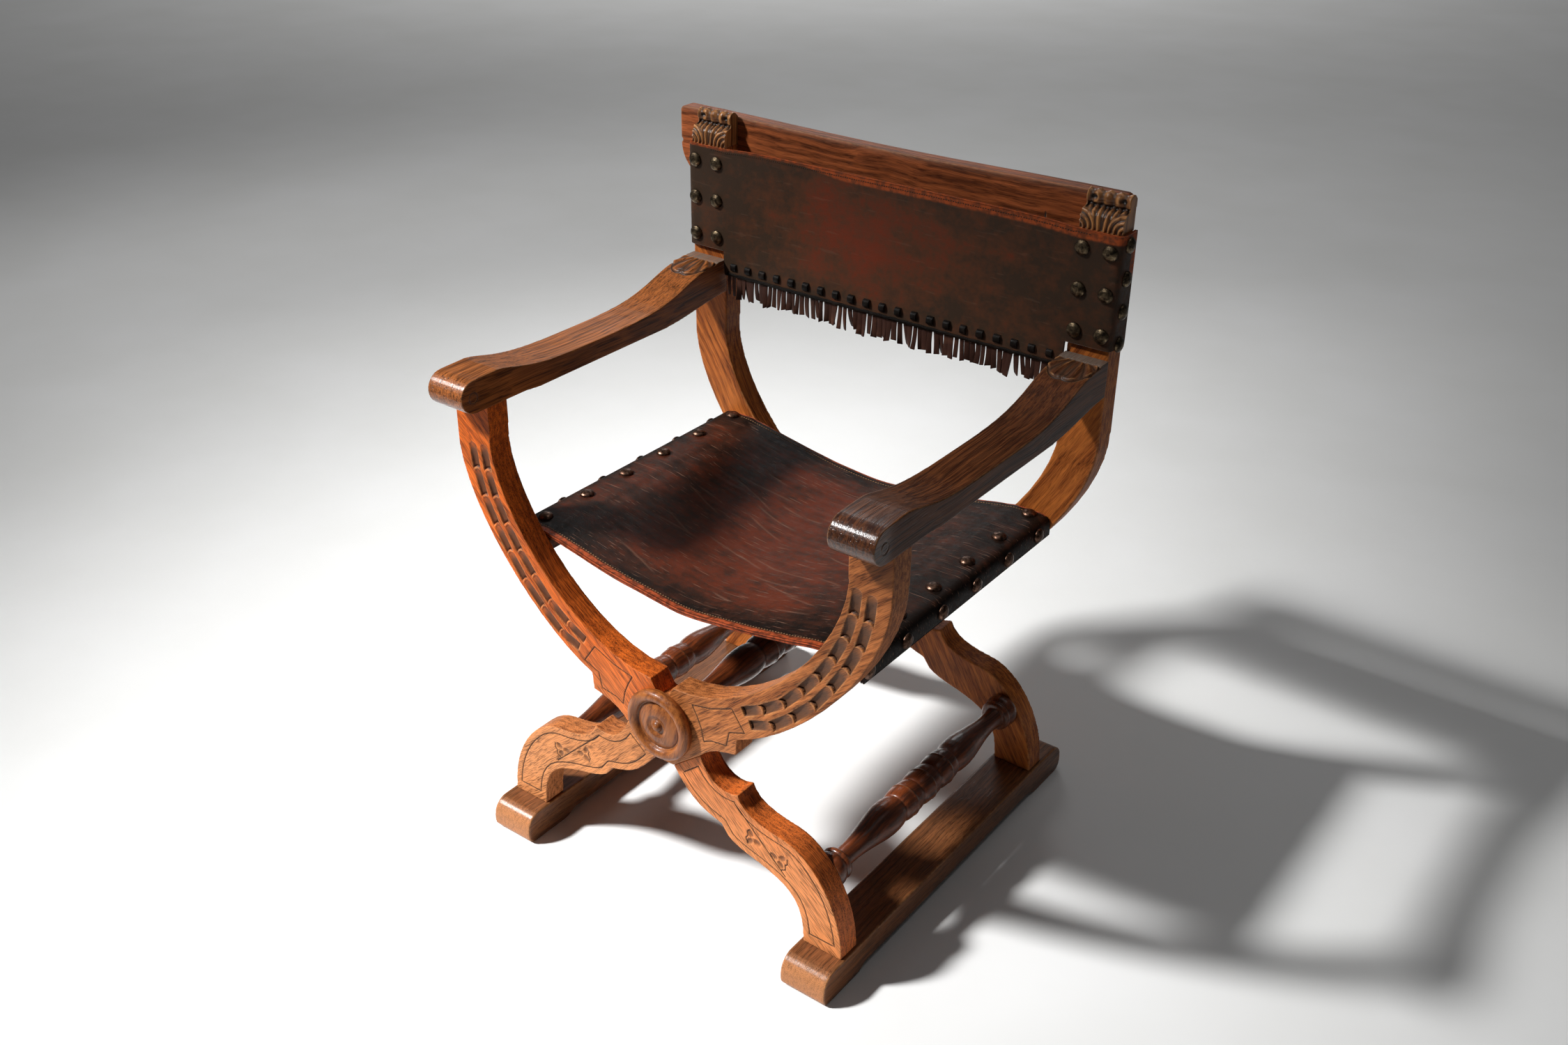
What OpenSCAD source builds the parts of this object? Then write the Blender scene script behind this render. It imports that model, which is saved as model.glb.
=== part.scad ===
// X-frame armchair in carved oak, with a slung leather seat and back.
// The origin is on the floor, in the middle of the room the chair takes up.
// +X is to the viewer's right when facing the chair, +Y runs to the back, +Z is up.

/* [Crossed frames] */
// Thickness of the boards that the crossed members are sawn from
board_t = 34; // [28:1:40]
// Width of a board where it stands upright, in the arcs, posts and ankles
board_w = 58; // [52:1:64]
// Width over the upright arcs, outside to outside
span_w = 661; // [620:1:700]
// Width over the ankles, outside to outside
foot_w = 562; // [530:1:600]
// Clear distance between the front and the rear crossed frame
frame_gap = 440; // [400:5:480]
// Distance from the middle of the runners forward to the face of the front frame
front_set = 262; // [250:1:275]
// Height of the crossing above the floor
cross_z = 284; // [270:1:300]
// Distance below the arms at which the arcs turn upright
bend_drop = 31; // [20:1:50]
// Distance from the middle to the pointed cusps beside the crossing
cusp_x = 119; // [112:1:126]
// Distance from the middle to the crotch between an arc and the leg below it
crotch_x = 60; // [56:1:66]
// Width of the notch above the crossing, at its top
notch_w = 36; // [28:1:42]
// Width of the notch at its bottom
notch_b = 12; // [8:1:20]
// Depth of the notch above the crossing
notch_d = 21; // [15:1:24]
// Height at which the rear posts end, under the finials
post_z = 862; // [830:1:890]

/* [Runners] */
// Width of a runner
runner_w = 67; // [62:1:74]
// Height of a runner
runner_h = 46; // [42:1:52]
// Length of a runner
runner_l = 608; // [580:2:640]
// Length of the pad left at each end of a runner
pad_l = 84; // [60:1:110]
// Height of the relief between the pads
pad_h = 9; // [5:1:12]

/* [Arms] */
// Width of an arm
arm_w = 60; // [56:1:66]
// Height of an arm's underside above the floor
arm_z = 641; // [632:1:655]
// How far an arm's rounded nose stands in front of the front frame
arm_nose = 41; // [30:1:55]
// Height of the nose
nose_h = 44; // [40:1:50]
// Thickness of an arm at its middle
arm_mid_t = 26; // [22:1:32]
// Height of an arm's back end
arm_back_h = 48; // [42:1:54]
// Rise of an arm's underside at the post
arm_rise = 13; // [6:1:18]

/* [Stretchers] */
// Distance from the middle to a side stretcher
side_str_x = 232; // [226:1:238]
// Height of the right stretcher
side_str_z = 137; // [130:1:145]
// How much lower the left stretcher sits
left_drop = 14; // [0:1:16]
// Largest radius of the turning, at the beads and collars
bead_r = 24; // [21:1:26]
// Radius of the necks
neck_r = 12.5; // [11.5:0.5:15]
// Length of the collar at each end
collar_l = 28; // [22:1:34]
// Length of the three beads together
beads_l = 128; // [110:1:140]
// Diameter of the stretchers' round tenons
tenon_d = 20; // [16:1:24]
// Depth of the side stretchers' tenons
tenon_l = 20; // [15:1:25]

/* [Boss] */
// Radius of the turned boss on the crossing
boss_r = 50; // [46:1:54]
// How far the boss stands proud
boss_h = 15; // [12:1:20]
// How deep the middle stretcher's tenon runs into the boss
boss_tenon = 6; // [4:1:8]

/* [Seat] */
// Distance from the middle to a seat rail's inner face
rail_x = 214; // [208:1:222]
// Width of a seat rail
rail_w = 56; // [48:1:60]
// Height of the seat rails' tops above the floor
rail_z = 461; // [455:1:480]
// Thickness of a seat rail
rail_t = 18; // [16:1:24]
// Thickness of the doubled seat leather
seat_t = 6; // [5:0.5:8]
// Sag of the seat at its front edge
sag_front = 33; // [25:1:45]
// Sag of the seat at its back edge
sag_back = 32; // [25:1:45]
// Extra sag in the middle of the seat
sag_mid = 9; // [0:1:15]
// How far the outer flaps hang below the rails' tops
flap_h = 22; // [18:1:30]

/* [Back] */
// Thickness of the doubled back leather
back_t = 5.7; // [4.5:0.1:7]
// Thickness of the leather where it turns round the posts
wing_t = 4; // [3:0.5:5]
// Height of the leather on the posts
back_h = 146; // [125:1:155]
// How far the leather hangs lower between the posts
drop_h = 26; // [18:1:32]
// Rise of the leather's top edge between the posts
back_rise = 4; // [0:1:6]
// Bow of the leather to the back
back_bow = 7; // [2:1:10]
// Length of the fringe
fringe_h = 37; // [30:1:44]
// Number of strips in the fringe
fringe_n = 62; // [50:2:70]
// Number of laced tabs above the fringe
tab_n = 21; // [17:2:25]

/* [Crest board] */
// Length of the crest board
crest_l = 693; // [680:1:710]
// Distance of the board's middle from the chair's middle, to the viewer's left
crest_off = 29.5; // [0:0.5:32]
// Thickness of the crest board
crest_t = 23; // [18:1:26]
// How far the crest board's ends stand above the posts' tops
crest_over = 38; // [30:1:50]
// Dip of the top edge in the middle
crest_dip = 4; // [2:1:12]
// Height of the board in the middle
crest_h = 44; // [36:1:50]
// Depth of the housing for the board in the backs of the posts
housing = 4; // [2:1:6]
// How far the lower edge lifts beside the right ear
lift_right = 8; // [0:1:14]
// How far the lower edge lifts beside the left ear
lift_left = 2; // [0:1:14]
// How far the left ear reaches inwards past its post
ear_in = 1.5; // [0:0.5:8]
// Height of the small step between an ear's end and its lobe
ear_step = 6; // [4:1:10]
// Radius of the lobe that ends an ear
lobe_r = 48; // [40:1:52]
// Diameter of the four screws that hold the board
screw_d = 5; // [4:0.5:6]
// How deep the screws run into the posts
screw_in = 22; // [18:1:28]

/* [Finials] */
// Height of a finial
finial_h = 44; // [38:1:50]
// Radius of the curl at a finial's top
curl_r = 8; // [6:0.5:9]

/* [Nails and clearances] */
// Diameter of a domed nail head
nail_d = 20; // [16:0.5:21]
// Height of a domed nail head
nail_h = 6; // [4:0.5:8]
// Number of nails in each row of the seat
seat_nails = 6; // [5:1:7]
// Spacing of the seat nails
seat_pitch = 79; // [70:1:80]
// Spacing of the two columns of nails on a post
col_pitch = 37; // [33:1:39]
// Spacing of the nails down a post
row_pitch = 53; // [48:1:55]
// Distance of the top row of seat nails from the rails' outer edges
nail_inset = 20; // [14:1:26]
// How far back the top row of seat nails is set
nail_back = 8; // [0:1:14]
// How far forward the row of seat nails on the flaps is set
nail_fore = 12; // [0:1:14]
// Distance of the highest nails on the posts' fronts below the posts' tops
nail_top = 22; // [18:1:28]
// Distance of the highest nails on the posts' outer sides below the posts' tops
side_nail_top = 14; // [12:1:20]
// Clearance round tenons and pins
fit = 0.3; // [0.2:0.05:0.5]
// Gap between leather and wood
lay = 0.3; // [0.2:0.05:0.4]

/* [Hidden] */
$fn = 64;
oak = "#8a5a30";
hide = "#3f2018";
brass = "#6e5a2c";
iron = "#4a4a48";
// Outer and inner edges of the uprights and of the ankles
xo = span_w/2;
xi = xo - board_w;
xm = xo - board_w/2;
fo = foot_w/2;
fi = fo - board_w;
fm = fo - board_w/2;
// Heights that follow from the arms and the posts
bend_z = arm_z - bend_drop;
crest_z = post_z + crest_over;
ear_w = crest_l/2 + crest_off - xi + ear_in;
// Faces of the two frames, from front to back
front_y = -front_set;
front_in = front_y + board_t;
rear_in = front_in + frame_gap;
rear_y = rear_in + board_t;
mid_y = (front_in + rear_in)/2;
crest_y = rear_y - housing;
// The crest reaches further to the left, so the chair stands off by half of the difference
reach_right = xo + lay + wing_t + nail_h;
reach_left = max(crest_l/2 + crest_off, reach_right);
mid_x = (reach_left - reach_right)/2;
// Square tenons: half width, half thickness and length
tw = 14;
tt = 8;
tl = 20;
over = 1;

// Point t of the cubic curve with the four given control points
function cubic(a, b, c, d, t) =
    pow(1 - t, 3)*a + 3*pow(1 - t, 2)*t*b + 3*(1 - t)*t*t*c + pow(t, 3)*d;
// The same curve as n steps, without its last point
function curve(a, b, c, d, n = 8) = [for (i = [0:n - 1]) cubic(a, b, c, d, i/n)];
function arc(cx, cy, r, a0, a1, n = 8) =
    [for (i = [0:n]) let (a = a0 + (a1 - a0)*i/n) [cx + r*cos(a), cy + r*sin(a)]];
function flip(points) = [for (i = [len(points) - 1:-1:0]) [-points[i][0], points[i][1]]];
function ease(t) = let (u = min(1, max(0, t))) u*u*(3 - 2*u);

// Edges of one arc and one leg, on the side of +X
arc_inner = curve([xi, bend_z], [xi + 16, bend_z - 89], [notch_w/2 + 138, cross_z + 59],
    [notch_w/2, cross_z + 59], 14);
arc_lower = curve([crotch_x, cross_z - 25], [crotch_x + 14, cross_z - 10],
    [cusp_x - 35, cross_z - 5], [cusp_x - 2, cross_z + 2], 5);
arc_outer = curve([cusp_x, cross_z + 26], [cusp_x + 95, cross_z + 64], [xo + 8, bend_z - 114],
    [xo, bend_z - 10], 14);
leg_outer = concat(
    curve([crotch_x, cross_z - 25], [crotch_x + 10, cross_z - 56],
        [crotch_x + 35, cross_z - 70], [cusp_x, cross_z - 59], 7),
    curve([cusp_x, cross_z - 59], [cusp_x + 6, cross_z - 81], [cusp_x + 31, cross_z - 90],
        [cusp_x + 71, cross_z - 94], 6),
    curve([cusp_x + 71, cross_z - 94], [cusp_x + 116, cross_z - 100], [fo, runner_h + 74],
        [fo, runner_h], 12));
leg_inner = concat(
    curve([fi, runner_h], [fi - 1, runner_h + 64], [fi - 23, cross_z - 163],
        [fi - 70, cross_z - 149], 9),
    curve([fi - 70, cross_z - 149], [fi - 93, cross_z - 144], [fi - 111, cross_z - 138],
        [fi - 119, cross_z - 131], 4),
    [[fi - 119, cross_z - 131]],
    curve([fi - 130, cross_z - 116], [fi - 163, cross_z - 108], [fi - 181, cross_z - 99],
        [notch_b/2 + 10, cross_z - 60], 7),
    [[notch_b/2 + 10, cross_z - 60]]);

// Outline of a member whose arc rises to +X and whose leg stands at -X
module member_outline(top) {
    polygon(concat(
        [[xi, top]], arc_inner,
        [[notch_w/2, cross_z + 59], [notch_b/2, cross_z + 59 - notch_d],
            [-notch_b/2, cross_z + 59 - notch_d]],
        [for (p = leg_outer) [-p[0], p[1]]],
        [[-fo, runner_h]],
        [for (p = leg_inner) [-p[0], p[1]]],
        [[notch_b/2 + 10, cross_z - 60]],
        arc_lower,
        [[cusp_x - 2, cross_z + 2]], arc_outer,
        [[xo, bend_z - 10], [xo, top]]));
}

// Puts the middle of the overall width on the origin
module place() { translate([mid_x, 0, 0]) children(); }

// Child outline drawn in X and Z, as a board from y to y + t
module board(y, t) {
    translate([0, y + t, 0]) rotate([90, 0, 0]) linear_extrude(t) children();
}

// Child outline drawn in Y and Z, as a board from x to x + t
module side_board(x, t) {
    translate([x, 0, 0]) rotate([90, 0, 90]) linear_extrude(t) children();
}

// Square tenon along Z, or its mortise when c is the clearance
module upright_tenon(x, y, z, c = 0) {
    translate([x - tw - c, y - tt - c, z - tl - c])
        cube([2*tw + 2*c, 2*tt + 2*c, tl + 2*c]);
}

// Tenon along Y that carries a seat rail
module rail_tenon(x, y, c = 0) {
    translate([x - tw - c, y - tl/2 - c, rail_z - rail_t/2 - rail_t/4 - c])
        cube([2*tw + 2*c, tl + 2*c, rail_t/2 + 2*c]);
}

// One crossed member: half of its thickness is cut away where the other member passes
module cross_member(y, top, keep_front, drop) {
    inner = y < mid_y ? front_in : rear_in;
    depth = y < mid_y ? -tenon_l : tenon_l;
    difference() {
        union() {
            board(y, board_t) member_outline(top);
            upright_tenon(-fm, y + board_t/2, runner_h);
        }
        board(keep_front ? y + board_t/2 : y - over, board_t/2 + over)
            mirror([1, 0]) member_outline(top);
        translate([0, y - over, cross_z]) rotate([-90, 0, 0])
            cylinder(h = board_t + 2*over, r = tenon_d/2 + fit);
        translate([-side_str_x, inner, side_str_z - drop]) rotate([-90, 0, 0])
            translate([0, 0, min(0, depth) - (depth < 0 ? fit : over)])
            cylinder(h = tenon_l + fit + over, r = tenon_d/2 + fit);
        rail_tenon(rail_x + rail_w/2, inner, fit);
    }
}

module front_member(keep_front, drop) {
    cross_member(front_y, arm_z, keep_front, drop);
    upright_tenon(xm, front_y + board_t/2, arm_z + tl);
}

module rear_member(keep_front, drop) {
    difference() {
        cross_member(rear_in, post_z, keep_front, drop);
        arm_tenon(fit);
        translate([xi - over, crest_y, ear_z() - fit])
            cube([board_w + 2*over, housing + over, post_z - ear_z() + 2*over]);
        crest_holes();
    }
}

module front_member_a() { color(oak) mirror([1, 0, 0]) front_member(false, 0); }
module front_member_b() { color(oak) front_member(true, left_drop); }
module rear_member_a() { color(oak) mirror([1, 0, 0]) rear_member(false, 0); }
module rear_member_b() { color(oak) rear_member(true, left_drop); }

// Runner: a sledge foot with rounded ends and a relieved underside
module runner() {
    h = runner_h;
    e = runner_l/2;
    difference() {
        side_board(fm - runner_w/2, runner_w) polygon(concat(
            arc(24 - e, h - 24, 24, 90, 180, 6),
            arc(12 - e, 12, 12, 180, 270, 5),
            [[-e + pad_l - 12, 0]],
            curve([-e + pad_l - 12, 0], [-e + pad_l, 0], [-e + pad_l, pad_h],
                [-e + pad_l + 16, pad_h], 5),
            [[e - pad_l - 16, pad_h]],
            curve([e - pad_l - 16, pad_h], [e - pad_l, pad_h], [e - pad_l, 0],
                [e - pad_l + 12, 0], 5),
            [[e - pad_l + 12, 0]],
            arc(e - 12, 12, 12, -90, 0, 5),
            arc(e - 24, h - 24, 24, 0, 90, 6)));
        upright_tenon(fm, front_y + board_t/2, runner_h, fit);
        upright_tenon(fm, rear_in + board_t/2, runner_h, fit);
        translate([fm - tw - fit, front_y + board_t/2 - tt - fit, runner_h - over])
            cube([2*tw + 2*fit, 2*tt + 2*fit, 2*over]);
        translate([fm - tw - fit, rear_in + board_t/2 - tt - fit, runner_h - over])
            cube([2*tw + 2*fit, 2*tt + 2*fit, 2*over]);
    }
}

module runner_left() { color(oak) mirror([1, 0, 0]) runner(); }
module runner_right() { color(oak) runner(); }

// Tenon of an arm in the front of its post
module arm_tenon(c = 0) {
    translate([xm - tw - c, rear_in - over, arm_z + arm_rise + 12 - c])
        cube([2*tw + 2*c, tl + over + c, 22 + 2*c]);
}

// Arm: rounded nose, dipped middle, back end raised for the carved leaf
module arm_outline() {
    y0 = front_y - arm_nose;
    top = arm_z + nose_h;
    mid = arm_z + arm_mid_t;
    back = arm_z + arm_rise + arm_back_h;
    r = nose_h/2;
    polygon(concat(
        arc(y0 + r, arm_z + r, r, 270, 90, 14),
        curve([y0 + 62, top + 1], [front_in + 18, top - 2], [front_in + 34, mid + 2],
            [front_in + 118, mid], 8),
        curve([front_in + 118, mid], [mid_y + 40, mid - 2], [rear_in - 155, mid],
            [rear_in - 104, mid + 15], 7),
        curve([rear_in - 104, mid + 15], [rear_in - 76, back - 10], [rear_in - 52, back - 1],
            [rear_in - 20, back - 1], 6),
        [[rear_in - 20, back - 1], [rear_in - 17, back], [rear_in, back],
            [rear_in, arm_z + arm_rise]],
        curve([rear_in, arm_z + arm_rise], [rear_in - 50, arm_z + arm_rise - 2],
            [rear_in - 90, arm_z - 3], [rear_in - 160, arm_z - 3], 7),
        [[front_in + 60, arm_z - 3], [front_in + 30, arm_z]]));
}

module arm() {
    difference() {
        side_board(xm - arm_w/2, arm_w) arm_outline();
        upright_tenon(xm, front_y + board_t/2, arm_z + tl, fit);
        translate([xm - tw - fit, front_y + board_t/2 - tt - fit, arm_z - over])
            cube([2*tw + 2*fit, 2*tt + 2*fit, 2*over]);
    }
    intersection() {
        arm_tenon();
        translate([xm - board_w, rear_in, arm_z]) cube([2*board_w, 2*board_t, 2*arm_back_h]);
    }
}

module arm_left() { color(oak) mirror([1, 0, 0]) arm(); }
module arm_right() { color(oak) arm(); }

// Turned stretcher along +Y, with three beads in the middle and a vase on each side
vase_l = (frame_gap - beads_l)/2 - collar_l;
one_bead = beads_l/3;
function bead(z, l, r0, r1, n = 8) =
    [for (i = [0:n]) let (a = 180*i/n) [r0 + (r1 - r0)*pow(sin(a), 0.8), z + l*i/n]];
// Bead with a fine raised ring past its middle
function ringed(z) = let (r = bead_r, l = one_bead) concat(
    curve([r - 5, z], [r - 2, z + 0.04*l], [r - 0.8, z + 0.18*l], [r - 0.8, z + 0.44*l], 5),
    [[r - 0.8, z + 0.46*l], [r, z + 0.49*l], [r, z + 0.54*l], [r - 1.4, z + 0.57*l]],
    curve([r - 1.4, z + 0.57*l], [r - 1.4, z + 0.85*l], [r - 2.5, z + 0.95*l], [r - 5, z + l], 5));
// Collar, then neck and vase up to the first bead
function vase(n = 8) = concat(
    [[0, 0], [bead_r - 3, 0]],
    bead(0, collar_l*0.6, bead_r - 3, bead_r, 6),
    bead(collar_l*0.6 + 1, collar_l*0.4 - 1, bead_r - 4.5, bead_r - 1.5, 4),
    curve([neck_r + 1.5, collar_l + 1], [neck_r - 1.5, collar_l + vase_l*0.25],
        [bead_r - 7, collar_l + vase_l*0.42], [bead_r - 2, collar_l + vase_l*0.68], n),
    curve([bead_r - 2, collar_l + vase_l*0.68], [bead_r + 0.5, collar_l + vase_l*0.84],
        [bead_r - 1.5, collar_l + vase_l*0.97], [bead_r - 5, collar_l + vase_l - 0.5], 5));

module turning() {
    end = vase();
    first = collar_l + vase_l;
    rotate([-90, 0, 0]) rotate_extrude() polygon(concat(end,
        ringed(first), ringed(first + one_bead), ringed(first + 2*one_bead),
        [for (i = [len(end) - 1:-1:0]) [end[i][0], frame_gap - end[i][1]]]));
}

module round_tenon(y, l) {
    translate([0, y, 0]) rotate([-90, 0, 0]) cylinder(h = l, r = tenon_d/2);
}

module side_stretcher(drop) {
    translate([side_str_x, front_in, side_str_z - drop]) {
        turning();
        round_tenon(-tenon_l, tenon_l + collar_l/2);
        round_tenon(frame_gap - collar_l/2, tenon_l + collar_l/2);
    }
}

module stretcher_left() { color(oak) mirror([1, 0, 0]) side_stretcher(left_drop); }
module stretcher_right() { color(oak) side_stretcher(0); }
module stretcher_middle() {
    reach = board_t + boss_tenon;
    color(oak) translate([0, front_in, cross_z]) {
        turning();
        round_tenon(-reach, reach + collar_l/2);
        round_tenon(frame_gap - collar_l/2, reach + collar_l/2);
    }
}

// Turned boss: raised rim, fillet, low dome and a button in a sunk ring
module boss() {
    difference() {
        rotate([90, 0, 0]) rotate_extrude() polygon(concat(
            [[0, 0], [boss_r - 2, 0]],
            arc(boss_r - 8, boss_h - 8, 8, -40, 160, 10),
            [[boss_r - 17, boss_h - 8], [boss_r - 18, boss_h - 6]],
            curve([boss_r - 18, boss_h - 6], [boss_r - 26, boss_h - 3], [20, boss_h - 2],
                [11, boss_h - 2], 5),
            [[10.5, boss_h - 5], [8, boss_h - 5]],
            arc(0, boss_h - 6.5, 8, 10, 90, 5)));
        translate([0, over, 0]) rotate([90, 0, 0])
            cylinder(h = boss_tenon + fit + over, r = tenon_d/2 + fit);
    }
}

module boss_front() { color(oak) translate([0, front_y, cross_z]) boss(); }
module boss_rear() { color(oak) translate([0, rear_y, cross_z]) rotate([0, 0, 180]) boss(); }

// Seat rail with rounded top corners, tenoned into both arcs
module seat_rail() {
    r = 6;
    board(front_in, frame_gap) polygon(concat(
        [[rail_x, rail_z - rail_t], [rail_x + rail_w, rail_z - rail_t]],
        arc(rail_x + rail_w - r, rail_z - r, r, 0, 90, 4),
        arc(rail_x + r, rail_z - r, r, 90, 180, 4)));
    rail_tenon(rail_x + rail_w/2, front_in);
    rail_tenon(rail_x + rail_w/2, rear_in);
}

module seat_rail_left() { color(oak) mirror([1, 0, 0]) seat_rail(); }
module seat_rail_right() { color(oak) seat_rail(); }

// Crest board behind the posts: dipped top, an ear with a round lobe at each end
step_z = crest_z - crest_h - 2;
function ear_z() = step_z - ear_step - lobe_r;
function crest_half(lift) =
    let (e = crest_l/2, mid = crest_z - crest_dip, low = mid - crest_h, ear = e - ear_w) concat(
    curve([0, mid], [e*0.35, mid], [e*0.6, crest_z], [e - 9, crest_z], 7),
    arc(e - 7, crest_z - 7, 7, 90, 0, 3),
    [[e, step_z], [e - ear_step/2, step_z - ear_step/3],
        [e - ear_step/2, step_z - 2*ear_step/3], [e, step_z - ear_step]],
    arc(e - lobe_r, step_z - ear_step, lobe_r, 0, -90, 8),
    [[ear, ear_z()], [ear, low + lift], [ear - 15, low + lift + 1]],
    curve([ear - 25, low + lift - 1], [e*0.5, low], [e*0.2, low], [0, low], 5));
module crest_outline() {
    polygon(concat(crest_half(lift_right), [[0, crest_z - crest_dip - crest_h]],
        [for (p = flip(crest_half(lift_left))) if (p[0] < -0.01) p]));
}

// Four screws through the ears into the posts
module crest_screw_places() {
    for (s = [-1, 1]) for (z = [ear_z() + lobe_r*0.3, ear_z() + lobe_r*0.8])
        translate([s*xm, crest_y, z]) children();
}

module crest_holes(c = fit) {
    crest_screw_places() rotate([-90, 0, 0]) translate([0, 0, -screw_in - c])
        cylinder(h = crest_t + screw_in + 2*c + over, d = screw_d + 2*c, $fn = 24);
}

module crest_board() {
    color(oak) difference() {
        translate([-crest_off, 0, 0]) board(crest_y, crest_t) crest_outline();
        crest_holes();
    }
}

module crest_screws() {
    color(iron) crest_screw_places() rotate([-90, 0, 0]) {
        translate([0, 0, -screw_in])
            cylinder(h = crest_t + screw_in + 0.5, d = screw_d, $fn = 24);
        translate([0, 0, crest_t]) cylinder(h = screw_d/2, d = 2*screw_d, $fn = 32);
    }
}

// Finial: the post's top, its front sloping back to a small curl
module finial() {
    y1 = crest_y;
    top = post_z + finial_h;
    side_board(xi, board_w) polygon(concat(
        [[y1, post_z], [rear_in, post_z]],
        curve([rear_in, post_z + 12], [rear_in + 1, post_z + 24], [rear_in + 12, top - 20],
            [y1 - 14, top - 17], 6),
        arc(y1 - 9, top - curl_r, curl_r, 215, 60, 9),
        [[y1, top - 6]]));
}

module finial_left() { color(oak) mirror([1, 0, 0]) finial(); }
module finial_right() { color(oak) finial(); }

// Closed solid between two grids of points with nv points in a column
module sheet(outer, inner, nv) {
    n = len(outer);
    nu = n/nv;
    q = [for (i = [0:nu - 2]) for (j = [0:nv - 2]) i*nv + j];
    rim_u = [for (j = [0:nv - 2]) for (i = [0, nu - 1]) [i*nv + j, i*nv + j + 1, i]];
    rim_v = [for (i = [0:nu - 2]) for (j = [0, nv - 1]) [i*nv + j, (i + 1)*nv + j, j]];
    polyhedron(points = concat(outer, inner), faces = concat(
        [for (a = q) [a, a + nv, a + nv + 1]],
        [for (a = q) [a, a + nv + 1, a + 1]],
        [for (a = q) [n + a, n + a + nv + 1, n + a + nv]],
        [for (a = q) [n + a, n + a + 1, n + a + nv + 1]],
        [for (e = rim_u) e[2] == 0 ? [e[0], e[1], n + e[1]] : [e[0], n + e[1], e[1]]],
        [for (e = rim_u) e[2] == 0 ? [e[0], n + e[1], n + e[0]] : [e[0], n + e[0], n + e[1]]],
        [for (e = rim_v) e[2] == 0 ? [e[0], n + e[1], e[1]] : [e[0], e[1], n + e[1]]],
        [for (e = rim_v) e[2] == 0 ? [e[0], n + e[0], n + e[1]] : [e[0], n + e[1], n + e[0]]]));
}

// Seat leather: a doubled sling over the rails, with a flap down each outer side
seat_y0 = front_in + 2;
seat_y1 = rear_in - 2;
rx1 = rail_x + rail_w;
free_x = rail_x - 14;
function sag(v) = sag_front + (sag_back - sag_front)*v + sag_mid*sin(180*v);
function sling(x, v) = rail_z + seat_t + lay - sag(v)
    + (sag(v) - 10)*pow(abs(x)/free_x, 1.5);
function seat_half(v) = concat(
    [[rx1 + lay + seat_t, rail_z - flap_h, rx1 + lay, rail_z - flap_h],
        [rx1 + lay + seat_t, rail_z - 6, rx1 + lay, rail_z - 6],
        [rx1 + lay + seat_t - 1.5, rail_z + 1, rx1 + lay, rail_z - 1],
        [rx1 - 1, rail_z + seat_t, rx1 - 1, rail_z + lay],
        [rx1 - 20, rail_z + seat_t + lay, rx1 - 20, rail_z + lay],
        [rail_x + 8, rail_z + seat_t + lay, rail_x + 8, rail_z + lay],
        [rail_x - 2, rail_z + 3.7, rail_x - lay - 0.2, rail_z - 1.2],
        [free_x, sling(free_x, v), free_x - 2, sling(free_x, v) - seat_t]],
    [for (i = [7:-1:0]) let (x = free_x*i/8) [x, sling(x, v), x, sling(x, v) - seat_t]]);

module seat_leather() {
    nv = 7;
    rows = [for (j = [0:nv - 1]) seat_half(j/(nv - 1))];
    m = len(rows[0]);
    y = [for (j = [0:nv - 1]) seat_y0 + (seat_y1 - seat_y0)*j/(nv - 1)];
    function at(k, s, i) = [for (j = [0:nv - 1]) [s*rows[j][i][k], y[j], rows[j][i][k + 1]]];
    function side(k) = [for (i = [0:2*m - 2]) each
        (i < m ? at(k, -1, i) : at(k, 1, 2*m - 2 - i))];
    color(hide) sheet(side(0), side(2), nv);
}

// Back leather: a doubled band round the fronts and outer sides of the posts
back_z = post_z - back_h;
function bow(x, v) = back_bow*sin(180*v)*(1 - pow(min(1, abs(x)/xi), 2));
function back_half(v) = concat(
    [[xo + lay + wing_t, rear_y - 2, xo + lay, rear_y - 2, 0],
        [xo + lay + wing_t, rear_in + 2, xo + lay, rear_in + 2, 0],
        [xo + wing_t - 1, rear_in - 3.5, xo + lay, rear_in - lay, 0],
        [xo - 3, rear_in - lay - back_t, xo - 3, rear_in - lay, 0],
        [xi - 1, rear_in - lay - back_t, xi - 1, rear_in - lay, 0],
        [xi - 3.5, rear_in - lay - back_t, xi - 3.5, rear_in - lay, drop_h]],
    [for (i = [5:-1:0]) let (x = (xi - 5)*i/6, b = rear_in - lay + bow(x, v))
        [x, b - back_t, x, b, drop_h]]);

module back_leather() {
    nv = 7;
    rows = [for (j = [0:nv - 1]) back_half(j/(nv - 1))];
    m = len(rows[0]);
    function top(x) = post_z + back_rise*(1 - pow(min(1, x/(xi - 3)), 8));
    function at(k, s, i) = [for (j = [0:nv - 1]) let (p = rows[j][i], z0 = back_z - p[4])
        [s*p[k], p[k + 1], z0 + (top(p[k]) - z0)*j/(nv - 1)]];
    function side(k) = [for (i = [0:2*m - 2]) each
        (i < m ? at(k, -1, i) : at(k, 1, 2*m - 2 - i))];
    color(hide) sheet(side(0), side(2), nv);
}

// Laced tabs: square loops of thong along the back leather's lower seam
lace_w = 2*xi - 14;
lace_z = back_z - drop_h + 5;
module back_lacing() {
    pitch = lace_w/tab_n;
    y = rear_in - 2*lay - back_t - 2;
    color(hide) {
        translate([-lace_w/2, y + 0.5, lace_z - 2]) cube([lace_w, 1.5, 4]);
        for (i = [0:tab_n - 1])
            translate([-lace_w/2 + pitch*(i + 0.22), y, lace_z - 4.5])
                cube([pitch*0.56, 2, 9]);
    }
}

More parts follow.
